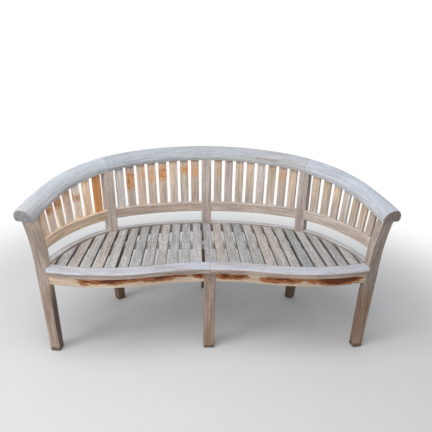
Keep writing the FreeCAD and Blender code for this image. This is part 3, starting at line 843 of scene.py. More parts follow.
class Field:
    """A number, direction or colour that varies over a surface.

    Arithmetic on fields wires up the nodes that do it: plain numbers go
    through Math, directions through Vector Math and colours through Mix.
    """

    def __init__(self, tree: bpy.types.NodeTree,
                 socket: Optional[bpy.types.NodeSocket] = None) -> None:
        """Take one output of a node tree."""
        self.tree = tree
        self.socket = socket

    def node(self, kind: str, inputs: dict, output: Union[int, str] = 0,
             **settings: object) -> "Field":
        """Add any node and return one of its outputs.

        Args:
            kind: The node's type, without its common beginning.
            inputs: Fields or constants, by the inputs' names or numbers.
            output: Name or number of the output wanted.
            settings: Choices to set on the node.

        Returns:
            The output as a field.
        """
        made = self.tree.nodes.new("ShaderNode" + kind)
        for name, value in settings.items():
            setattr(made, name, value)
        for name, value in inputs.items():
            self.feed(made.inputs[name], value)
        return Field(self.tree, made.outputs[output])

    def feed(self, socket: bpy.types.NodeSocket, value: object) -> None:
        """Link a field to an input, or set the input to a constant.

        Args:
            socket: Input of a node.
            value: A field, a number or three numbers.
        """
        if isinstance(value, Field):
            self.tree.links.new(value.socket, socket)
        elif socket.type == "RGBA":
            socket.default_value = (*value[:3], 1.0)
        else:
            socket.default_value = value

    def joined(self, operation: str, first: object, second: object) -> "Field":
        """Result of an operation on two fields, or on a field and a constant.

        Args:
            operation: The operation by its node's name for it.
            first: A field or a constant.
            second: A field or a constant.

        Returns:
            The result as a field: a colour if either is one, else a direction
            if either is one, else a number.
        """
        kinds = {value.socket.type for value in (first, second) if isinstance(value, Field)}
        if "RGBA" in kinds:
            return self.mixed(1.0, self.as_triple(first), self.as_triple(second),
                              blend_type=operation)
        if "VECTOR" in kinds:
            return self.node("VectorMath", {0: self.as_triple(first), 1: self.as_triple(second)},
                             operation=operation)
        return self.node("Math", {0: first, 1: second}, operation=operation)

    def mixed(self, share: object, first: object, second: object, **settings: object) -> "Field":
        """Colour a share of the way from one colour to another."""
        inputs = {MIX_SHARE: share, MIX_FIRST: first, MIX_SECOND: second}
        return self.node("Mix", inputs, MIX_RESULT, data_type="RGBA", **settings)

    @staticmethod
    def as_triple(value: object) -> object:
        """A constant number as three equal ones; anything else as it is."""
        return (value,) * 3 if isinstance(value, (int, float)) else value

    def __add__(self, other: object) -> "Field":
        """This field plus another."""
        return self.joined("ADD", self, other)

    def __radd__(self, other: object) -> "Field":
        """Another plus this field."""
        return self.joined("ADD", other, self)

    def __sub__(self, other: object) -> "Field":
        """This field less another."""
        return self.joined("SUBTRACT", self, other)

    def __rsub__(self, other: object) -> "Field":
        """Another less this field."""
        return self.joined("SUBTRACT", other, self)

    def __mul__(self, other: object) -> "Field":
        """This field times another."""
        return self.joined("MULTIPLY", self, other)

    def __rmul__(self, other: object) -> "Field":
        """Another times this field."""
        return self.joined("MULTIPLY", other, self)

    def part(self, index: int) -> "Field":
        """One of a direction's three numbers."""
        return self.node("SeparateXYZ", {0: self}, index)

    def maths(self, operation: str) -> "Field":
        """Result of an operation on this number alone."""
        return self.node("Math", {0: self}, operation=operation)

    def between(self, low: float, high: float) -> "Field":
        """Smooth rise from 0 to 1 as the field goes from low to high."""
        inputs = {"Value": self, "From Min": low, "From Max": high}
        return self.node("MapRange", inputs, interpolation_type="SMOOTHSTEP")

    def blended(self, other: object, share: Union[float, "Field"]) -> "Field":
        """This colour with a share of another laid over it."""
        return self.mixed(share, self, other)

    def noise(self, stretch: tuple[float, float, float], detail: float = 3.0,
              roughness: float = 0.55) -> "Field":
        """Cloudy noise about 0.5 at places along this field, times a stretch."""
        inputs = {"Vector": self * stretch, "Scale": 1.0, "Detail": detail, "Roughness": roughness}
        return self.node("TexNoise", inputs)


class Grain(Enum):
    """Where a finish takes the direction of the grain from."""

    CARRIED = "carried by the mesh"
    ALONG_X = "along X"
    ALONG_Y = "along Y"


@dataclass(frozen=True)
class Teak:
    """One kind of weathered teak.

    Attributes:
        name: The finish in a maker's words.
        slot: Material slot of the solid model that it belongs to.
        ridge: Colour of the raised, bleached grain.
        furrow: Colour between the raised grain.
        sky: Colour of the faces that look up: the silver they weather to,
            with painted skylight in it.
        skylit_silvering: How far those faces take that colour, real silvering and
            painted skylight together.
        bare: Colour where the silvered surface has worn through.
        rot: Colour where the wood has gone deep.
        bareness: How fully the bare colour covers inside a stain.
        speckle: Strength of the lichen and dirt spots.
        checks: How many drying cracks there are, from 0 to 1.
        ragged: How far the edges of stains follow the grain.
        rings: Strength of the dark rings inside the stains.
        streaks: Strength of the dark streaks inside the stains.
        relief: Height of the raised grain in metres.
        roughness: How dull the surface is.
    """

    name: str
    slot: str
    ridge: Colour
    furrow: Colour
    sky: Colour
    skylit_silvering: float = 0.7
    bare: Colour = paint(222, 150, 84)
    rot: Colour = paint(120, 62, 38)
    bareness: float = 0.85
    speckle: float = 0.25
    checks: float = 0.5
    ragged: float = 0.5
    rings: float = 0.6
    streaks: float = 0.2
    relief: float = 0.0009
    roughness: float = 0.82

    # Waves in each metre along, across and through the grain
    sway, fibre, band = (2.2, 9.0, 9.0), (16.0, 430.0, 430.0), (6.0, 95.0, 95.0)
    cloud, spots, crack = (6.0, 16.0, 16.0), (55.0, 105.0, 105.0), (5.0, 190.0, 190.0)
    tear, streak = (30.0, 210.0, 210.0), (9.0, 260.0, 260.0)
    sway_metres = 0.022
    crack_darkness = 0.72
    dullness_spread = 0.16
    bare_level, rot_level = 0.36, 0.98
    ring_density = 26.0
    rot_cover = 0.85
    worn_lightness = 0.12
    end_darkness = 0.42
    gloss = 0.3
    relief_strength = 0.75

    # Limits between which a field rises from none to all
    ridge_limits, band_limits, patchy = (0.37, 0.63), (0.3, 0.7), (0.35, 0.6)
    crack_limits, up_limits, ring_limits = (0.64, 0.70), (0.15, 0.85), (0.5, 0.98)
    streak_limits, stain_limits = (0.5, 0.66), (0.0, 0.3)

    def material(self, grain: Grain) -> bpy.types.Material:
        """The finish for one grain direction, made once and shared.

        Args:
            grain: Where the grain's direction comes from.

        Returns:
            The material.
        """
        name = self.name if grain is Grain.CARRIED else self.name + " " + grain.value
        found = bpy.data.materials.get(name)
        return found or self.wired(bpy.data.materials.new(name), grain)

    def wired(self, material: bpy.types.Material, grain: Grain) -> bpy.types.Material:
        """Wire up the colour, the roughness and the relief of the finish.

        The grain's place is shifted sideways by slow noise, so that lines
        wander as they do in sawn wood. Fine fibres, broad bands, drying
        cracks and spots are noises stretched along the grain; the colour runs
        from furrow to ridge through them, turns to a silver grey with painted
        skylight on faces that look up, and gives way to bare or rotten wood in
        the stains.

        Args:
            material: The empty material.
            grain: Where the grain's direction comes from.

        Returns:
            The same material.
        """
        material.use_nodes = True
        tree = material.node_tree
        surface = Field(tree)
        place = self.grain_place(surface, grain)
        sway = (place.noise(self.sway, 2.0) - 0.5) * self.sway_metres
        place = place + sway.node("CombineXYZ", {0: 0.0, 1: sway, 2: sway})
        fibre = place.noise(self.fibre, 4.0, 0.6)
        band = place.noise(self.band, 3.0)
        cloud = place.noise(self.cloud, 4.0)
        spots = place.noise(self.spots, 4.0, 0.7)
        crack = place.noise(self.crack, 2.0).between(*self.crack_limits)
        crack = crack * cloud.between(0.62 - 0.2 * self.checks, 0.72) * self.checks

        mixed = (fibre * 0.4 + band * 0.4 + cloud * 0.2).between(*self.ridge_limits)
        colour = surface.mixed(mixed, self.furrow, self.ridge)
        facing = surface.node("NewGeometry", {}, "Normal").part(2)
        # faces that look up take real silvering and painted skylight together
        up = facing.between(*self.up_limits) * (0.6 + 0.4 * cloud.between(*self.patchy))
        shaded = colour.blended(self.sky, up * self.skylit_silvering)
        shaded = shaded * (0.93 + 0.14 * band.between(*self.band_limits))
        if grain is Grain.CARRIED:
            shaded = self.painted(surface, shaded, place, fibre, cloud)
        shaded = shaded * (1.0 + self.speckle * (spots - 0.5) * 2.0)
        shaded = shaded * (1.0 - self.crack_darkness * crack)

        dull = self.roughness + self.dullness_spread * (fibre - 0.5)
        height = fibre * 0.5 + band * 0.35 + spots * 0.15 - crack * 1.1
        shader = tree.nodes["Principled BSDF"]
        surface.feed(shader.inputs["Base Color"], shaded)
        surface.feed(shader.inputs["Roughness"], dull)
        relief = {"Height": height, "Distance": self.relief, "Strength": self.relief_strength}
        surface.feed(shader.inputs["Normal"], surface.node("Bump", relief))
        shader.inputs["Specular IOR Level"].default_value = self.gloss
        return material

    def grain_place(self, surface: Field, grain: Grain) -> Field:
        """Place in the wood in metres: along, across and through the grain.

        Args:
            surface: Any field of the material's node tree.
            grain: Where the grain's direction comes from.

        Returns:
            The place as three numbers.
        """
        if grain is Grain.CARRIED:
            return surface.node("Attribute", {}, "Vector", attribute_name="grain")
        place = surface.node("TexCoord", {}, "Object")
        if grain is Grain.ALONG_X:
            return place
        x, y, z = (place.part(i) for i in range(3))
        return surface.node("CombineXYZ", {0: y, 1: x, 2: z})

    def painted(self, surface: Field, colour: Field, place: Field, fibre: Field,
                cloud: Field) -> Field:
        """Lay the tint with its painted light and shade, the stains, the worn edges
        and the end grain over a colour.

        A stain's level is the carried strength with noise added to it, so
        that its edge wanders and tears along the grain. Bare wood shows where
        the level passes a first limit and rot where it passes a second; rings
        are a sine of the level, which draws lines of equal level, and streaks
        of rot run through the bare wood.

        Args:
            surface: Any field of the material's node tree.
            colour: Colour of the weathered wood.
            place: Place in the wood, with its lines swaying.
            fibre: Noise of the fine fibres.
            cloud: Noise of the broad clouds.

        Returns:
            The colour with all of these laid over it.
        """
        tint = surface.node("Attribute", {}, "Color", attribute_name="tint")
        stain, wear, end = (surface.node("Attribute", {}, "Fac", attribute_name=name)
                            for name in ("stain", "wear", "end"))
        colour = colour * tint
        tear = place.noise(self.tear, 4.0, 0.62)
        streak = place.noise(self.streak, 3.0).between(*self.streak_limits)
        uneven = (cloud - 0.5) * 1.2 + (tear - 0.5) * (2.4 * self.ragged) + (fibre - 0.5) * 0.3
        level = stain + uneven * stain.between(*self.stain_limits)
        gone = level.between(self.bare_level, self.bare_level + 0.6 * (1 - self.ragged))
        ring = (level * self.ring_density).maths("SINE").between(*self.ring_limits) * self.rings
        deep = level.between(self.rot_level, self.rot_level + 0.4 * (1 - self.ragged))
        colour = colour.blended(self.bare, gone * self.bareness)
        colour = colour.blended(self.rot, (ring * 0.6 + streak * self.streaks) * gone)
        colour = colour.blended(self.rot, deep * self.rot_cover)
        colour = colour * (1.0 + self.worn_lightness * wear * cloud.between(*self.patchy))
        return colour * (1.0 - self.end_darkness * end)


SILVER = Teak("silver teak", "silver_teak", paint(212, 210, 208), paint(184, 183, 185),
              paint(206, 210, 216), bare=paint(160, 146, 136), rot=paint(112, 96, 84),
              bareness=0.6, skylit_silvering=0.75, speckle=0.25)
SEAT = Teak("seat teak", "grey_teak", paint(202, 197, 191), paint(142, 137, 133),
            paint(192, 191, 189), skylit_silvering=0.6, speckle=0.8, checks=0.9)
NOSING = Teak("nosing teak", "grey_teak", paint(200, 182, 171), paint(156, 138, 127),
              paint(203, 206, 216), skylit_silvering=0.97, speckle=0.3, checks=0.4)
APRON = Teak("stained teak", "stained_teak", paint(240, 220, 198), paint(214, 186, 160),
             paint(214, 206, 200), bare=paint(186, 118, 66), rot=paint(98, 44, 26),
             bareness=0.95, skylit_silvering=0.3, speckle=0.2, ragged=0.92, rings=0.4,
             streaks=0.4)
WARM = Teak("warm teak", "warm_teak", paint(222, 208, 197), paint(186, 170, 158),
            paint(212, 206, 203), bare=paint(230, 164, 106), rot=paint(140, 80, 48),
            bareness=0.8, skylit_silvering=0.6, speckle=0.25, ragged=0.15, rings=1.0, streaks=0.3)
LEG = Teak("leg teak", "leg_teak", paint(188, 172, 160), paint(150, 132, 119),
           paint(204, 202, 202), bare=paint(112, 94, 82), rot=paint(70, 58, 50),
           bareness=0.7, skylit_silvering=0.7, speckle=0.35, checks=0.6)
HIDDEN = Teak("hidden teak", "hidden_teak", paint(132, 108, 92), paint(96, 76, 62),
              paint(120, 104, 94), skylit_silvering=0.4)
# painted light: the batten is kept pale so that it doesn't show dark in the shade between the seat
# slats
BATTEN = Teak("batten teak", "hidden_teak", paint(226, 216, 206), paint(196, 184, 174),
              paint(222, 220, 218))


# Sub-assemblies of the bench

@dataclass
class TopRail:
    """The domed rail that runs round the back and becomes both arms."""

    layout: Layout
    joint_gap: float = 0.4
    joint_round: float = 1.2
    arm_end_round: float = 5.0
    spacing: float = 12.0
    pitch: float = 14.0

    def place(self, station: Array, across: Array, up: Array) -> Array:
        """Places in the rail, whose heights shear with its sloping plane."""
        plan = self.layout.rail_plan.place(station, across)
        return raised(plan, self.layout.rail_under(plan[..., 1]) + up)

    def build(self) -> list[bpy.types.Object]:
        """Make the three lengths, which meet over the back posts.

        Returns:
            The left, the centre and the right length.
        """
        section = Section.rounded(self.layout.rail_outline(), self.spacing).slimmer(SKIN_INSET)
        end, joint = self.layout.rail_plan.half_length, self.layout.joint_station
        arm, seam = self.arm_end_round, self.joint_round
        lengths = {
            "left": (-end, -joint - self.joint_gap, (arm, seam), Look(far=Tint.COOL)),
            "centre": (-joint, joint, (seam, seam),
                       Look(Tint.COOL, patches((0.85, 0.12, 0.65, 0.45, 0.2)), 0.88, Tint.PLAIN)),
            # the right arm's end turns brown: partly the end grain's own colour, partly painted
            # shade on the end turned from the light
            "right": (joint + self.joint_gap, end, (seam, arm),
                      Look(Tint.COOL, far=Tint.BROWN, turn=(0.994, 1.0))),
        }
        made = []
        for name, (first, last, ends, look) in lengths.items():
            skin = Skin.stretched(section, self.place, first, last, self.pitch, ends)
            timber = Timber("weathered_top_rail_" + name).add(skin, look)
            made.append(timber.build(SILVER, "top_rail_" + name))
        return made


@dataclass
class Legs:
    """Rear posts, end legs that carry the arms, and the front centre leg."""

    layout: Layout
    edge: float = 3.0
    foot_round: float = 5.0
    top_round: float = 1.0
    pitch: float = 24.0
    flare_steps: int = 10

    # a dark patch at the very foot of each leg
    dark_foot = patches((0.0, 0.03, 1.2))
    # inner: painted shade low on each end leg's inner side, under the seat, and painted light on
    # it higher up
    end_looks = {"left_end_leg": Look(Tint.PINK, dark_foot, 1.06, Tint.PLAIN, (0.4, 0.6),
                                      inner=(0.42, 1.42)),
                 "right_end_leg": Look(Tint.BROWN, dark_foot, 1.0, Tint.GREY, (0.4, 0.6),
                                       inner=(0.9, 1.35))}

    @staticmethod
    def rear_look(shade: float) -> Look:
        """A rear leg, painted dark as shade under the seat and bleached where it is a post."""
        return Look(Tint.UNDER_SEAT_SHADE, Legs.dark_foot, shade, Tint.PALE, (0.42, 0.58))

    def through(self, levels: Sequence[Level], heading: float,
                side: int = 1) -> tuple[Section, Place, float]:
        """Section and placing of a leg that runs through given levels.

        Args:
            levels: Middle of the front face, width and depth at each height,
                lowest first.
            heading: Direction that the leg's width runs in, from +X to -Y.
            side: -1 to mirror the leg to the left.

        Returns:
            The section at the leg's top, the placing, which narrows it to
            each height's width and depth, and the leg's height.
        """
        rows = np.array([(*middle, width, depth) for middle, width, depth in levels])
        across, along = PlanCurve.across(heading), PlanCurve.along(heading)
        top, full_width, full_depth = (float(number) for number in rows[-1, 2:])

        def place(z: Array, sideways: Array, inward: Array) -> Array:
            """Places in the leg, whose section narrows with the leg's own.

            The front's middle, the width and the depth are read off between
            the levels, and distances shrink as the width and the depth do.

            Args:
                z: Heights.
                sideways: Distances along the width, in the top's section.
                inward: Distances from the front, in the top's section.

            Returns:
                Points in space.
            """
            x, y, width, depth = (np.interp(z, rows[:, 2], rows[:, i]) for i in (0, 1, 3, 4))
            plan = np.stack([x, y], -1) + (sideways * (width / full_width))[..., None] * along
            plan = plan + (inward * (depth / full_depth))[..., None] * across
            plan[..., 0] *= side
            return raised(plan, z)

        section = Section.board(-full_width / 2, full_width / 2, 0.0, full_depth, self.edge)
        return section, place, top

    def leg(self, name: str, levels: Sequence[Level], heading: float, look: Look,
            side: int = 1) -> bpy.types.Object:
        """Make one leg through its levels.

        Args:
            name: Name of the leg's solid.
            levels: Middle of the front face, width and depth at each height.
            heading: Direction that the leg's width runs in, from +X to -Y.
            look: Its tint, stains and painted light and shade.
            side: -1 to mirror the leg to the left.

        Returns:
            The finished leg.
        """
        section, place, top = self.through(levels, heading, side)
        ends = (self.foot_round, self.top_round)
        skin = Skin.stretched(section, place, 0.0, top, self.pitch, ends)
        return Timber("weathered_" + name).add(skin, look).build(LEG, name)

    def build(self) -> list[bpy.types.Object]:
        """Make all six legs.

        A rear leg comes forward from its foot, is upright below the seat and
        leans with the back above it, up into the top rail.

        Returns:
            The three rear legs, the two end legs and the front centre leg.
        """
        layout, sizes = self.layout, self.layout.sizes
        straight = sizes.seat_height - sizes.straight_below_seat
        foot = (sizes.foot_width, sizes.foot_depth)
        full = (sizes.post_width, sizes.post_depth)
        made = []
        for name, share, look in (
                ("rear_left_leg", -sizes.post_share, self.rear_look(1.28)),
                ("rear_centre_leg", 0.0, self.rear_look(1.04)),
                ("rear_right_leg", sizes.post_share, self.rear_look(0.94))):
            knee = layout.back_point(share, layout.rear_rail_top)
            high = layout.back_line(share)[1] + (0.0, 0.0, sizes.housing_depth)
            levels = [(np.array([knee[0], knee[1] + sizes.post_rake, 0.0]), *foot),
                      (np.array([*knee[:2], straight]), *full), (knee, *full), (high, *full)]
            heading = float(layout.rail_plan.heading(share * layout.back_length))
            made.append(self.leg(name, levels, heading, look))
        for side, name in ((-1, "left_end_leg"), (1, "right_end_leg")):
            made.append(self.end_leg(name, side, straight))
        front = layout.front_plan.place(0.0)[1] + sizes.front_leg_setback
        under = sizes.seat_height - sizes.nosing_thickness
        block = (sizes.post_width, sizes.front_leg_depth)
        levels = [(np.array([0.0, front, z]), *block) for z in (0.0, under)]
        look = Look(Tint.BROWN, self.dark_foot, 1.04, Tint.PINK, (0.0, 0.6))
        made.append(self.leg("front_centre_leg", levels, 0.0, look))
        return made

    def end_leg(self, name: str, side: int, straight: float) -> bpy.types.Object:
        """Make one end leg, which bends outwards from the seat up to the arm.

        Its front face looks along the arm, so its depth runs back along the
        arm and its width outwards, square to it. The bend grows with the
        square of the height above the seat.

        Args:
            name: Name of the leg's solid.
            side: -1 for the left leg and 1 for the right one.
            straight: Height below which the leg tapers to its foot.

        Returns:
            The finished leg.
        """
        layout, sizes = self.layout, self.layout.sizes
        across, along = layout.leg_across, layout.leg_along
        top = float(layout.rail_under(layout.corner[1])) + sizes.housing_depth
        rise = top - sizes.housing_depth - layout.rear_rail_top
        heights = np.linspace(layout.rear_rail_top, top, self.flare_steps)
        flares = sizes.end_leg_flare * ((heights - layout.rear_rail_top) / rise) ** 2
        sections = [(0.0, 0.0, sizes.foot_width, sizes.end_leg_foot_depth),
                    (0.0, straight, sizes.end_leg_width, sizes.post_depth)]
        sections += [(flare, z, sizes.end_leg_width, sizes.post_depth)
                     for flare, z in zip(flares, heights)]
        levels = []
        for flare, z, width, depth in sections:
            middle = layout.corner + across * (flare + sizes.end_leg_width / 2)
            middle = middle - along * (sizes.post_depth - depth) / 2
            levels.append((np.array([*middle, z]), width, depth))
        heading = math.radians(sizes.rail_arcs[-1]) - math.pi / 2
        return self.leg(name, levels, heading, self.end_looks[name], side)


def slat(tint: Tint, far: Optional[Tint] = None, shade: float = 1.0, *stain: float) -> Look:
    """Look of a back slat from its tints, brightness and the numbers of its stain."""
    return Look(tint, patches(stain) if stain else (), shade, far)


@dataclass
class BackPanels:
    """Four panels of upright slats, each on a curved lower rail."""

    layout: Layout
    slat_edge: float = 1.6
    rail_edge: float = 2.2
    bury: float = 6.0
    rail_setback: float = 2.0
    spacing: float = 11.0
    slat_pitch: float = 16.0
    rail_pitch: float = 18.0
    ends: tuple[float, float] = (1.0, 1.0)

    looks = {
        "left": (slat(Tint.SALLOW, Tint.PEACH, 1.08, 0.85, 0.25, 0.5),
                 slat(Tint.PLAIN, Tint.PEACH, 1.1, 0.74, 0.22, 0.82),
                 slat(Tint.SALLOW, Tint.PEACH, 1.1, 0.72, 0.2, 0.9),
                 slat(Tint.PLAIN, Tint.PEACH, 1.08, 0.85, 0.22, 0.6),
                 slat(Tint.CREAM, Tint.PALE, 1.12, 0.6, 0.16, 0.75),
                 slat(Tint.PEACH, Tint.CREAM, 1.15, 0.9, 0.12, 0.5),
                 slat(Tint.ORANGE, None, 1.08, 0.4, 0.3, 0.5)),
        "centre_left": (slat(Tint.PALE), slat(Tint.PLAIN, Tint.PINK, 1.0, 0.65, 0.3, 0.95),
                        slat(Tint.PINK, Tint.PEACH, 1.12, 0.72, 0.22, 0.58),
                        slat(Tint.PINK, Tint.PEACH, 1.0, 0.66, 0.3, 0.62),
                        slat(Tint.PINK, Tint.PEACH, 1.0, 0.7, 0.22, 0.95),
                        slat(Tint.PLAIN, Tint.CREAM, 1.05, 0.9, 0.12, 0.5),
                        slat(Tint.GREY, Tint.SALLOW, 1.0, 0.75, 0.16, 0.9),
                        slat(Tint.PINK, Tint.PEACH, 0.89, 0.7, 0.22, 0.75)),
        "centre_right": (slat(Tint.GREY, Tint.PEACH, 1.04, 0.7, 0.14, 0.55),
                         slat(Tint.GREY, Tint.PINK), slat(Tint.GREY, Tint.CREAM, 1.02),
                         slat(Tint.GREY, Tint.CREAM, 1.02), slat(Tint.PLAIN, Tint.PALE),
                         slat(Tint.PLAIN, Tint.SALLOW, 1.0, 0.85, 0.1, 0.4),
                         slat(Tint.GREY, Tint.PEACH, 1.02, 0.75, 0.14, 0.6),
                         slat(Tint.PINK, Tint.CREAM, 1.0, 0.85, 0.14, 0.35)),
        "right": (slat(Tint.GREY, Tint.CREAM, 1.02, 0.9, 0.14, 0.5),
                  slat(Tint.PLAIN, Tint.SALLOW, 1.0, 0.97, 0.1, 0.5),
                  slat(Tint.GREY, Tint.CREAM, 1.02, 0.85, 0.14, 0.4), slat(Tint.PLAIN, Tint.PALE),
                  slat(Tint.GREY, Tint.SALLOW, 1.0, 0.9, 0.14, 0.4), slat(Tint.PLAIN, Tint.PEACH),
                  slat(Tint.PLAIN, Tint.PINK)),
    }
    rail_looks = {"left": Look(Tint.CREAM, patches((0.2, 0.3, 0.4)), 1.08),
                  "centre_left": Look(Tint.PINK), "centre_right": Look(),
                  "right": Look(shade=1.03)}
    # painted light and shade: each panel's slats made brighter or darker as a whole
    panel_lighting = {"left": 1.24, "centre_left": 1.02, "centre_right": 0.93, "right": 1.0}

    def bounds(self) -> dict[str, tuple[float, float]]:
        """Stations of the posts' faces that each panel stands between.

        Returns:
            First and last station of each panel by name, from left to right.
        """
        layout, half_post = self.layout, self.layout.sizes.post_width / 2
        joint, end = layout.joint_station, layout.back_length
        return {"left": (-end, -joint - half_post),
                "centre_left": (-joint + half_post, -half_post),
                "centre_right": (half_post, joint - half_post),
                "right": (joint + half_post, end)}

    def build(self) -> list[bpy.types.Object]:
        """Make the slats and the lower rail of each panel.

        Returns:
            Slats and lower rail in turn, from left to right.
        """
        made = []
        for panel, (first, last) in self.bounds().items():
            made.append(self.slats(panel, first, last))
            made.append(self.lower_rail(panel, first, last))
        return made

    def slats(self, panel: str, first: float, last: float) -> bpy.types.Object:
        """Make one panel's slats, which lean with the back into the top rail.

        Args:
            panel: Name of the panel.
            first: Station of the post's face at its left.
            last: Station of the post's face at its right.

        Returns:
            All slats of the panel as one piece.
        """
        layout, sizes = self.layout, self.layout.sizes
        looks = self.looks[panel]
        section = Section.board(-sizes.back_slat_width / 2, sizes.back_slat_width / 2, 0.0,
                                sizes.back_slat_thickness, self.slat_edge, self.spacing)
        floor = sizes.lower_rail_top - sizes.back_slat_depth_in_rail
        timber = Timber("weathered_back_slats_" + panel, front_low=True)
        for share, look in zip(layout.slat_shares(first, last, len(looks)), looks):
            heading = float(layout.rail_plan.heading(share * layout.back_length))
            across, along = PlanCurve.across(heading), PlanCurve.along(heading)
            top = float(layout.back_line(share)[1][2]) + sizes.back_slat_depth_in_rail
            low, high = (layout.back_point(share, z, sizes.back_slat_setback)
                         for z in (floor, top))

            def place(z: Array, sideways: Array, inward: Array) -> Array:
                """Places in a slat, whose middle runs straight between its ends.

                Args:
                    z: Heights.
                    sideways: Distances along the slat's width.
                    inward: Distances from its front.

                Returns:
                    Points in space.
                """
                lean = (z - floor) / (top - floor)
                plan = low[:2] + (high - low)[:2] * lean[..., None]
                plan = plan + sideways[..., None] * along + inward[..., None] * across
                return raised(plan, z)

            # the panel's painted light and shade multiplies each slat's own brightness
            look = replace(look, shade=look.shade * self.panel_lighting[panel])
            skin = Skin.stretched(section, place, floor, top, self.slat_pitch, self.ends)
            timber.add(skin, look)
        return timber.build(WARM, "back_slats_" + panel)

    def lower_rail(self, panel: str, first: float, last: float) -> bpy.types.Object:
        """Make one panel's lower rail, a single arc between two posts.

        The front and the back face are arcs through three points each on the
        leaning surface of the back; a point in between is shared out by its
        distance from the front.

        Args:
            panel: Name of the panel.
            first: Station of the post's face at its left.
            last: Station of the post's face at its right.

        Returns:
            The finished rail.
        """
        layout, sizes = self.layout, self.layout.sizes
        reach = sizes.post_width / 2
        stops = np.array([first - reach, (first + last) / 2, last + reach]) / layout.back_length
        bottom, top = sizes.lower_rail_top - sizes.lower_rail_height, sizes.lower_rail_top
        front, back = (Arc.through(*(layout.back_point(share, (bottom + top) / 2, setback)[:2]
                                     for share in stops))
                       for setback in (self.rail_setback,
                                       self.rail_setback + sizes.lower_rail_thickness))
        length = front.length

        def place(station: Array, across: Array, up: Array) -> Array:
            """Places in the rail, between its front and its back arc.

            Args:
                station: Distances along the front arc.
                across: Distances from the front.
                up: Heights.

            Returns:
                Points in space.
            """
            share = (station / length)[..., None]
            depth = (across / sizes.lower_rail_thickness)[..., None]
            return raised(front.at(share) * (1 - depth) + back.at(share) * depth, up)

        section = Section.board(0.0, sizes.lower_rail_thickness, bottom, top, self.rail_edge)
        hidden = reach - self.bury
        skin = Skin.stretched(section, place, hidden, length - hidden, self.rail_pitch, self.ends)
        timber = Timber("weathered_lower_back_rail_" + panel).add(skin, self.rail_looks[panel])
        return timber.build(WARM, "lower_back_rail_" + panel)


@dataclass(frozen=True)
class Arc:
    """Arc of a circle in plan, from its centre, radius, start and sweep."""

    centre: Array
    radius: float
    start: float
    sweep: float

    @classmethod
    def through(cls, first: Array, middle: Array, last: Array) -> "Arc":
        """The arc that starts at one point, passes a second and ends at a third.

        Its centre is equally far from all three, which makes two straight
        line equations for the centre.

        Args:
            first: Where the arc starts, in plan.
            middle: A point that it passes.
            last: Where it ends.

        Returns:
            The arc, which turns by less than half a circle.
        """
        rows = 2 * np.array([middle - first, last - first])
        sums = np.array([middle @ middle - first @ first, last @ last - first @ first])
        centre = np.linalg.solve(rows, sums)
        start, end = (math.atan2(p[1] - centre[1], p[0] - centre[0]) for p in (first, last))
        sweep = (end - start + math.pi) % (2 * math.pi) - math.pi
        return cls(centre, float(np.linalg.norm(first - centre)), start, sweep)

    @property
    def length(self) -> float:
        """Length of the arc."""
        return abs(self.radius * self.sweep)

    def at(self, share: Array) -> Array:
        """Points at shares of the way along the arc, given in one column."""
        angle = self.start + share * self.sweep
        return self.centre + self.radius * np.concatenate([np.cos(angle), np.sin(angle)], -1)


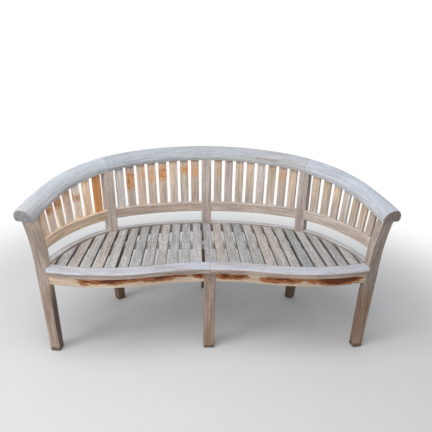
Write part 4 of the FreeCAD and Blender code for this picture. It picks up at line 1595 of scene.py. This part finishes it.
@dataclass
class Seat:
    """Slats from front to back, between the nosing and the rear seat rails."""

    layout: Layout
    slat_edge: float = 2.8
    rail_edge: float = 2.4
    bury: float = 6.0
    spacing: float = 12.0
    pitch: float = 18.0
    rail_ends: tuple[float, float] = (1.0, 1.0)
    slat_ends: tuple[float, float] = (1.2, 1.2)
    # painted shade on the slats' sides, darker deeper into the gaps between them
    gap_shade: float = 0.6
    shades: tuple[float, float] = (0.94, 1.1)
    tints: tuple[Tint, ...] = (Tint.PLAIN, Tint.PLAIN, Tint.GREY, Tint.LILAC, Tint.PINK)

    def build(self) -> list[bpy.types.Object]:
        """Make the rear rails and the slats."""
        return self.rear_rails() + self.slats()

    def rear_rails(self) -> list[bpy.types.Object]:
        """Make the four curved rails behind the slats.

        Returns:
            The rails from left to right.
        """
        layout, sizes = self.layout, self.layout.sizes
        top = layout.rear_rail_top
        section = Section.board(0.0, sizes.rear_rail_thickness, top - sizes.rear_rail_height, top,
                                self.rail_edge)

        def place(station: Array, across: Array, up: Array) -> Array:
            """Places in the rail: stations on the seat's curve, distances behind it, heights."""
            return raised(layout.seat_plan.place(station, across), up)

        made = []
        for panel, stations in BackPanels(layout).bounds().items():
            first, last = (float(layout.seat_station(s / layout.back_length)) for s in stations)
            skin = Skin.stretched(section, place, first - self.bury, last + self.bury,
                                  self.pitch, self.rail_ends)
            timber = Timber("weathered_rear_seat_rail_" + panel)
            timber.add(skin, Look(Tint.PALE, shade=0.9))
            made.append(timber.build(LEG, "rear_seat_rail_" + panel))
        return made

    def slats(self) -> list[bpy.types.Object]:
        """Make the straight slats, each with its ends sawn to both curves.

        An end is a straight cut between the two places where the slat's sides
        meet the curve, so each point's end lies between them by its x.

        Returns:
            The slats from left to right.
        """
        layout, sizes = self.layout, self.layout.sizes
        half = sizes.seat_slat_width / 2
        limit = float(layout.seat_plan.place(layout.seat_plan.half_length, -sizes.fit_gap)[0])
        draw = np.random.default_rng(7)
        bottom = sizes.seat_height - sizes.seat_slat_thickness
        made = []
        for number in range(-sizes.slats_each_side, sizes.slats_each_side + 1):
            middle = number * layout.slat_pitch
            left, right = (float(np.clip(middle + side, -limit, limit))
                           for side in (-half, half))
            section = Section.board(left, right, bottom, sizes.seat_height, self.slat_edge,
                                    self.spacing)
            ends = [self.curve_y(plan, offset, left, right) for plan, offset in (
                (layout.front_plan, sizes.nosing_width + sizes.fit_gap),
                (layout.seat_plan, -sizes.fit_gap))]
            share = (section.points[:, 0] - left) / (right - left)
            first, last = (low + (high - low) * share for low, high in ends)
            name = "seat_slat_%02d" % (number + sizes.slats_each_side + 1)
            tint = self.tints[draw.integers(len(self.tints))]
            look = Look(tint, shade=float(draw.uniform(*self.shades)), gap_shade=self.gap_shade)
            skin = Skin.stretched(section, self.place, first, last, self.pitch, self.slat_ends)
            made.append(Timber("weathered_" + name).add(skin, look).build(SEAT, name))
        return made

    @staticmethod
    def place(y: Array, x: Array, z: Array) -> Array:
        """Places in a slat, which lies square in the bench's frame."""
        return np.stack([x, y, z], -1)

    @staticmethod
    def curve_y(plan: PlanCurve, offset: float, *sides: float) -> list[float]:
        """How far back a curve runs at each side of a slat.

        Args:
            plan: The curve.
            offset: Distance from the curve.
            sides: Distances of the slat's sides from x = 0, with their signs.

        Returns:
            Distance from front to back for each side.
        """
        stations = [plan.reaches(offset, np.array([abs(side), 0.0]), np.array([1.0, 0.0]))
                    for side in sides]
        return [float(plan.place(station, offset)[1]) for station in stations]


@dataclass
class Front:
    """The nosing board and the apron under it, in two lengths each."""

    layout: Layout
    edge: float = 2.2
    nose_round: float = 8.0
    seam_round: float = 0.9
    seam_gap: float = 0.3
    bury: float = 3.0
    nosing_spacing: float = 9.0
    apron_spacing: float = 7.0
    pitch: float = 16.0
    nosing_end_round: float = 2.5
    apron_ends: tuple[float, float] = (1.0, 1.0)

    apron_looks = {
        "left": Look(shade=1.1, stains=patches(
            (0.24, 0.035, 0.85, 0.45, 0.3), (0.33, 0.09, 0.8, 0.6, 0.24),
            (0.45, 0.09, 1.1, 0.62, 0.3), (0.58, 0.09, 0.75, 0.7, 0.22),
            (0.7, 0.09, 0.9, 0.58, 0.32), (0.83, 0.1, 0.9, 0.68, 0.2),
            (0.97, 0.03, 1.3, 0.6, 0.25))),
        "right": Look(stains=patches(
            (0.06, 0.04, 1.35, 0.55, 0.3), (0.15, 0.05, 1.25, 0.55, 0.25),
            (0.34, 0.06, 0.85, 0.45, 0.28), (0.46, 0.08, 1.2, 0.6, 0.3),
            (0.6, 0.06, 0.75, 0.6, 0.24), (0.74, 0.09, 1.7, 0.5, 0.4),
            (0.87, 0.08, 1.7, 0.58, 0.38))),
    }

    def place(self, station: Array, across: Array, up: Array) -> Array:
        """Places on the front's curve: station, distance back and height."""
        return raised(self.layout.front_plan.place(station, across), up)

    def build(self) -> list[bpy.types.Object]:
        """Make the boards of both sides.

        Returns:
            The left nosing and apron, then the right ones.
        """
        made = []
        for side, sign in (("left", -1), ("right", 1)):
            made += [self.nosing(side, sign), self.apron(side, sign)]
        return made

    def board(self, name: str, section: Section, sign: int, inner: float, outer: Array,
              finish: Teak, look: Look, ends: tuple[float, float]) -> bpy.types.Object:
        """Make one board between two stations, on the right or mirrored.

        Args:
            name: Name of the board's solid.
            section: Outline of the board.
            sign: 1 for the right side and -1 for the left.
            inner: Station of the end next to the middle, on the right.
            outer: Station of each point's other end, on the right.
            finish: The weathered teak that it is made of.
            look: Its tint and stains.
            ends: Radius of the rounding at the inner and the outer end.

        Returns:
            The finished board.
        """
        first, last = (inner, outer) if sign > 0 else (-outer, -inner)
        rounds = ends if sign > 0 else ends[::-1]
        skin = Skin.stretched(section, self.place, first, last, self.pitch, rounds)
        return Timber("weathered_" + name).add(skin, look).build(finish, name)

    def nosing(self, side: str, sign: int) -> bpy.types.Object:
        """Make a nosing, cut at the leg's inner face and across its corner.

        Each point ends where it first meets one of two upright planes: the
        leg's inner face, and one at 45 degrees to it that cuts off the tip.

        Args:
            side: Name of the side.
            sign: 1 for the right side and -1 for the left.

        Returns:
            The finished nosing.
        """
        layout, sizes = self.layout, self.layout.sizes
        under, top = sizes.seat_height - sizes.nosing_thickness, sizes.seat_height
        width = sizes.nosing_width
        section = Section.rounded([(0.0, under, self.edge), (width, under, self.edge),
                                   (width, top, self.edge), (0.0, top, self.nose_round)],
                                  self.nosing_spacing)
        section = section.slimmer(SKIN_INSET)
        across = section.points[:, 0]
        plan = layout.front_plan
        at_leg = plan.reaches(across, layout.corner, layout.leg_across)
        tip = plan.place(plan.reaches(0.0, layout.corner, layout.leg_across))
        diagonal = (layout.leg_across + layout.leg_along) / math.sqrt(2)
        cut = plan.reaches(across, tip - layout.leg_across * sizes.nosing_corner_cut, diagonal)
        return self.board("nosing_" + side, section, sign, self.seam_gap, np.minimum(at_leg, cut),
                          NOSING, Look(), (self.seam_round, self.nosing_end_round))

    def apron(self, side: str, sign: int) -> bpy.types.Object:
        """Make an apron between the centre leg and an end leg.

        Args:
            side: Name of the side.
            sign: 1 for the right side and -1 for the left.

        Returns:
            The finished apron.
        """
        layout, sizes = self.layout, self.layout.sizes
        top = sizes.seat_height - sizes.nosing_thickness
        section = Section.board(sizes.apron_setback, sizes.apron_setback + sizes.apron_thickness,
                                top - sizes.apron_height, top, self.edge, self.apron_spacing)
        at_leg = layout.front_plan.reaches(section.points[:, 0], layout.corner, layout.leg_across)
        inner = sizes.post_width / 2 - self.bury
        return self.board("apron_" + side, section, sign, inner, at_leg + self.bury, APRON,
                          self.apron_looks[side], self.apron_ends)


@dataclass(frozen=True)
class Undercarriage:
    """Bearers, batten and loose tenons, whose plain shapes are kept."""

    finishes: tuple[tuple[str, Teak, Grain], ...] = (
        ("centre_bearer", HIDDEN, Grain.ALONG_Y), ("side_bearer_left", HIDDEN, Grain.ALONG_Y),
        ("side_bearer_right", HIDDEN, Grain.ALONG_Y), ("mid_batten", BATTEN, Grain.ALONG_X),
        ("rail_tenons", HIDDEN, Grain.ALONG_X))

    def dress(self) -> None:
        """Give the kept solids their weathered finish."""
        for name, finish, grain in self.finishes:
            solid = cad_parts[name]
            solid.data.materials.clear()
            solid.data.materials.append(finish.material(grain))
            log.info("%s: %s %s", name, finish.name, grain.value)


# Studio

@dataclass(frozen=True)
class Lamp:
    """A soft square lamp that faces the bench, in metres and watts."""

    name: str
    place: tuple[float, float, float]
    size: float
    power: float
    target = (0.0, 0.0, 0.4)

    def hang(self) -> None:
        """Hang the lamp and turn it to the bench."""
        data = bpy.data.lights.new(self.name, "AREA")
        data.size = self.size
        data.energy = self.power
        lamp = bpy.data.objects.new(self.name, data)
        lamp.location = self.place
        towards = Vector(self.target) - lamp.location
        lamp.rotation_euler = towards.to_track_quat("-Z", "Y").to_euler()
        bpy.context.collection.objects.link(lamp)


@dataclass(frozen=True)
class Studio:
    """Pale floor, white surroundings, soft light and the camera."""

    focal: float = 424.08
    centre: tuple[float, float] = (210.46, 266.62)
    place: tuple[float, float, float] = (-81.48, -1952.68, 1265.8)
    yaw: float = 2.857
    pitch: float = 26.628
    roll: float = 1.06
    image: float = 432.0
    sensor: float = 36.0
    floor_reach: float = 30.0
    floor_grey: float = 0.86
    floor_roughness: float = 0.9
    floor_gloss: float = 0.1
    floor_fade: tuple[float, float] = (1.1, 2.2)
    felt_colour: Colour = (0.93, 0.96, 1.0)
    felt_strength: float = 0.38
    lamps: tuple[Lamp, ...] = (Lamp("overhead lamp", (-0.5, -0.9, 3.1), 2.0, 44.0),
                               Lamp("front lamp", (-3.2, -2.0, 2.0), 1.6, 38.0))

    def build(self) -> None:
        """Set up everything that isn't the bench."""
        self.floor()
        self.surroundings()
        for lamp in self.lamps:
            lamp.hang()
        self.camera()

    def camera(self) -> None:
        """Place the camera where the photograph was taken from.

        Its axes are turned by the yaw about the vertical, pitched down and
        rolled; the shift puts the picture's middle off the lens's axis.
        """
        data = bpy.data.cameras.new("camera")
        data.sensor_width = self.sensor
        data.lens = self.focal * self.sensor / self.image
        data.shift_x = (self.image / 2 - self.centre[0]) / self.image
        data.shift_y = (self.centre[1] - self.image / 2) / self.image
        camera = bpy.data.objects.new("camera", data)
        yaw, pitch, roll = (math.radians(angle) for angle in (self.yaw, self.pitch, self.roll))
        forward = Vector((math.sin(yaw) * math.cos(pitch), math.cos(yaw) * math.cos(pitch),
                          -math.sin(pitch)))
        right = Vector((math.cos(yaw), -math.sin(yaw), 0.0))
        up = right.cross(forward)
        rolled_right = right * math.cos(roll) + up * math.sin(roll)
        rolled_up = up * math.cos(roll) - right * math.sin(roll)
        axes = Matrix((rolled_right, rolled_up, -forward)).transposed()
        camera.matrix_world = Matrix.Translation(Vector(self.place) * MILLIMETRE) @ axes.to_4x4()
        bpy.context.collection.objects.link(camera)
        bpy.context.scene.camera = camera

    def floor(self) -> None:
        """Pale floor that fades to white away from the bench.

        The floor keeps the bench's shadow near it; beyond, its own light
        replaces the shading as seen by the camera or in a reflection.
        """
        mesh = bpy.data.meshes.new("floor")
        corners = [(x * self.floor_reach, y * self.floor_reach, 0)
                   for x, y in ((-1, -1), (1, -1), (1, 1), (-1, 1))]
        mesh.from_pydata(corners, [], [(0, 1, 2, 3)])
        floor = bpy.data.objects.new("floor", mesh)
        bpy.context.collection.objects.link(floor)
        material = bpy.data.materials.new("pale floor")
        material.use_nodes = True
        tree = material.node_tree
        surface = Field(tree)
        shader = tree.nodes["Principled BSDF"]
        shader.inputs["Base Color"].default_value = (*(self.floor_grey,) * 3, 1.0)
        shader.inputs["Roughness"].default_value = self.floor_roughness
        shader.inputs["Specular IOR Level"].default_value = self.floor_gloss
        place = surface.node("TexCoord", {}, "Object")
        distance = place.node("VectorMath", {0: place}, "Value", operation="LENGTH")
        seen = self.seen_directly(surface)
        white = surface.node("Emission", {"Color": (1.0, 1.0, 1.0), "Strength": 1.0})
        mixed = surface.node("MixShader", {0: distance.between(*self.floor_fade) * seen,
                                           1: Field(tree, shader.outputs[0]), 2: white})
        surface.feed(tree.nodes["Material Output"].inputs["Surface"], mixed)
        mesh.materials.append(material)

    @staticmethod
    def seen_directly(surface: Field) -> Field:
        """1 for what the camera, a reflection or a see-through surface looks at.

        The three kinds of ray are added up and the sum is kept to 1 at most.

        Args:
            surface: Any field of the node tree.

        Returns:
            1 where one of the three looks, and 0 elsewhere.
        """
        rays = [surface.node("LightPath", {}, name)
                for name in ("Is Camera Ray", "Is Glossy Ray", "Is Transmission Ray")]
        total = rays[0] + rays[1] + rays[2]
        return total.node("Math", {0: total, 1: 1.0}, operation="MINIMUM")

    def surroundings(self) -> None:
        """White surroundings as seen, and a gentle even light as felt."""
        world = bpy.data.worlds.new("surroundings")
        bpy.context.scene.world = world
        world.use_nodes = True
        tree = world.node_tree
        surface = Field(tree)
        felt = tree.nodes["Background"]
        felt.inputs["Color"].default_value = (*self.felt_colour, 1.0)
        felt.inputs["Strength"].default_value = self.felt_strength
        white = surface.node("Background", {"Color": (1.0, 1.0, 1.0), "Strength": 1.0})
        mixed = surface.node("MixShader", {0: self.seen_directly(surface),
                                           1: Field(tree, felt.outputs[0]), 2: white})
        surface.feed(tree.nodes["World Output"].inputs["Surface"], mixed)


def main() -> None:
    """Build and dress the bench, set up the studio and log each part's count of pieces."""
    logging.basicConfig(level=logging.INFO, format="%(message)s")
    layout = Layout(Sizes())
    for part in (TopRail(layout), Legs(layout), BackPanels(layout), Seat(layout), Front(layout)):
        made = part.build()
        log.info("%s: %d pieces", type(part).__name__, len(made))
    Undercarriage().dress()
    Studio().build()
    bpy.context.scene.view_settings.view_transform = "Standard"


if __name__ == "__main__":
    main()
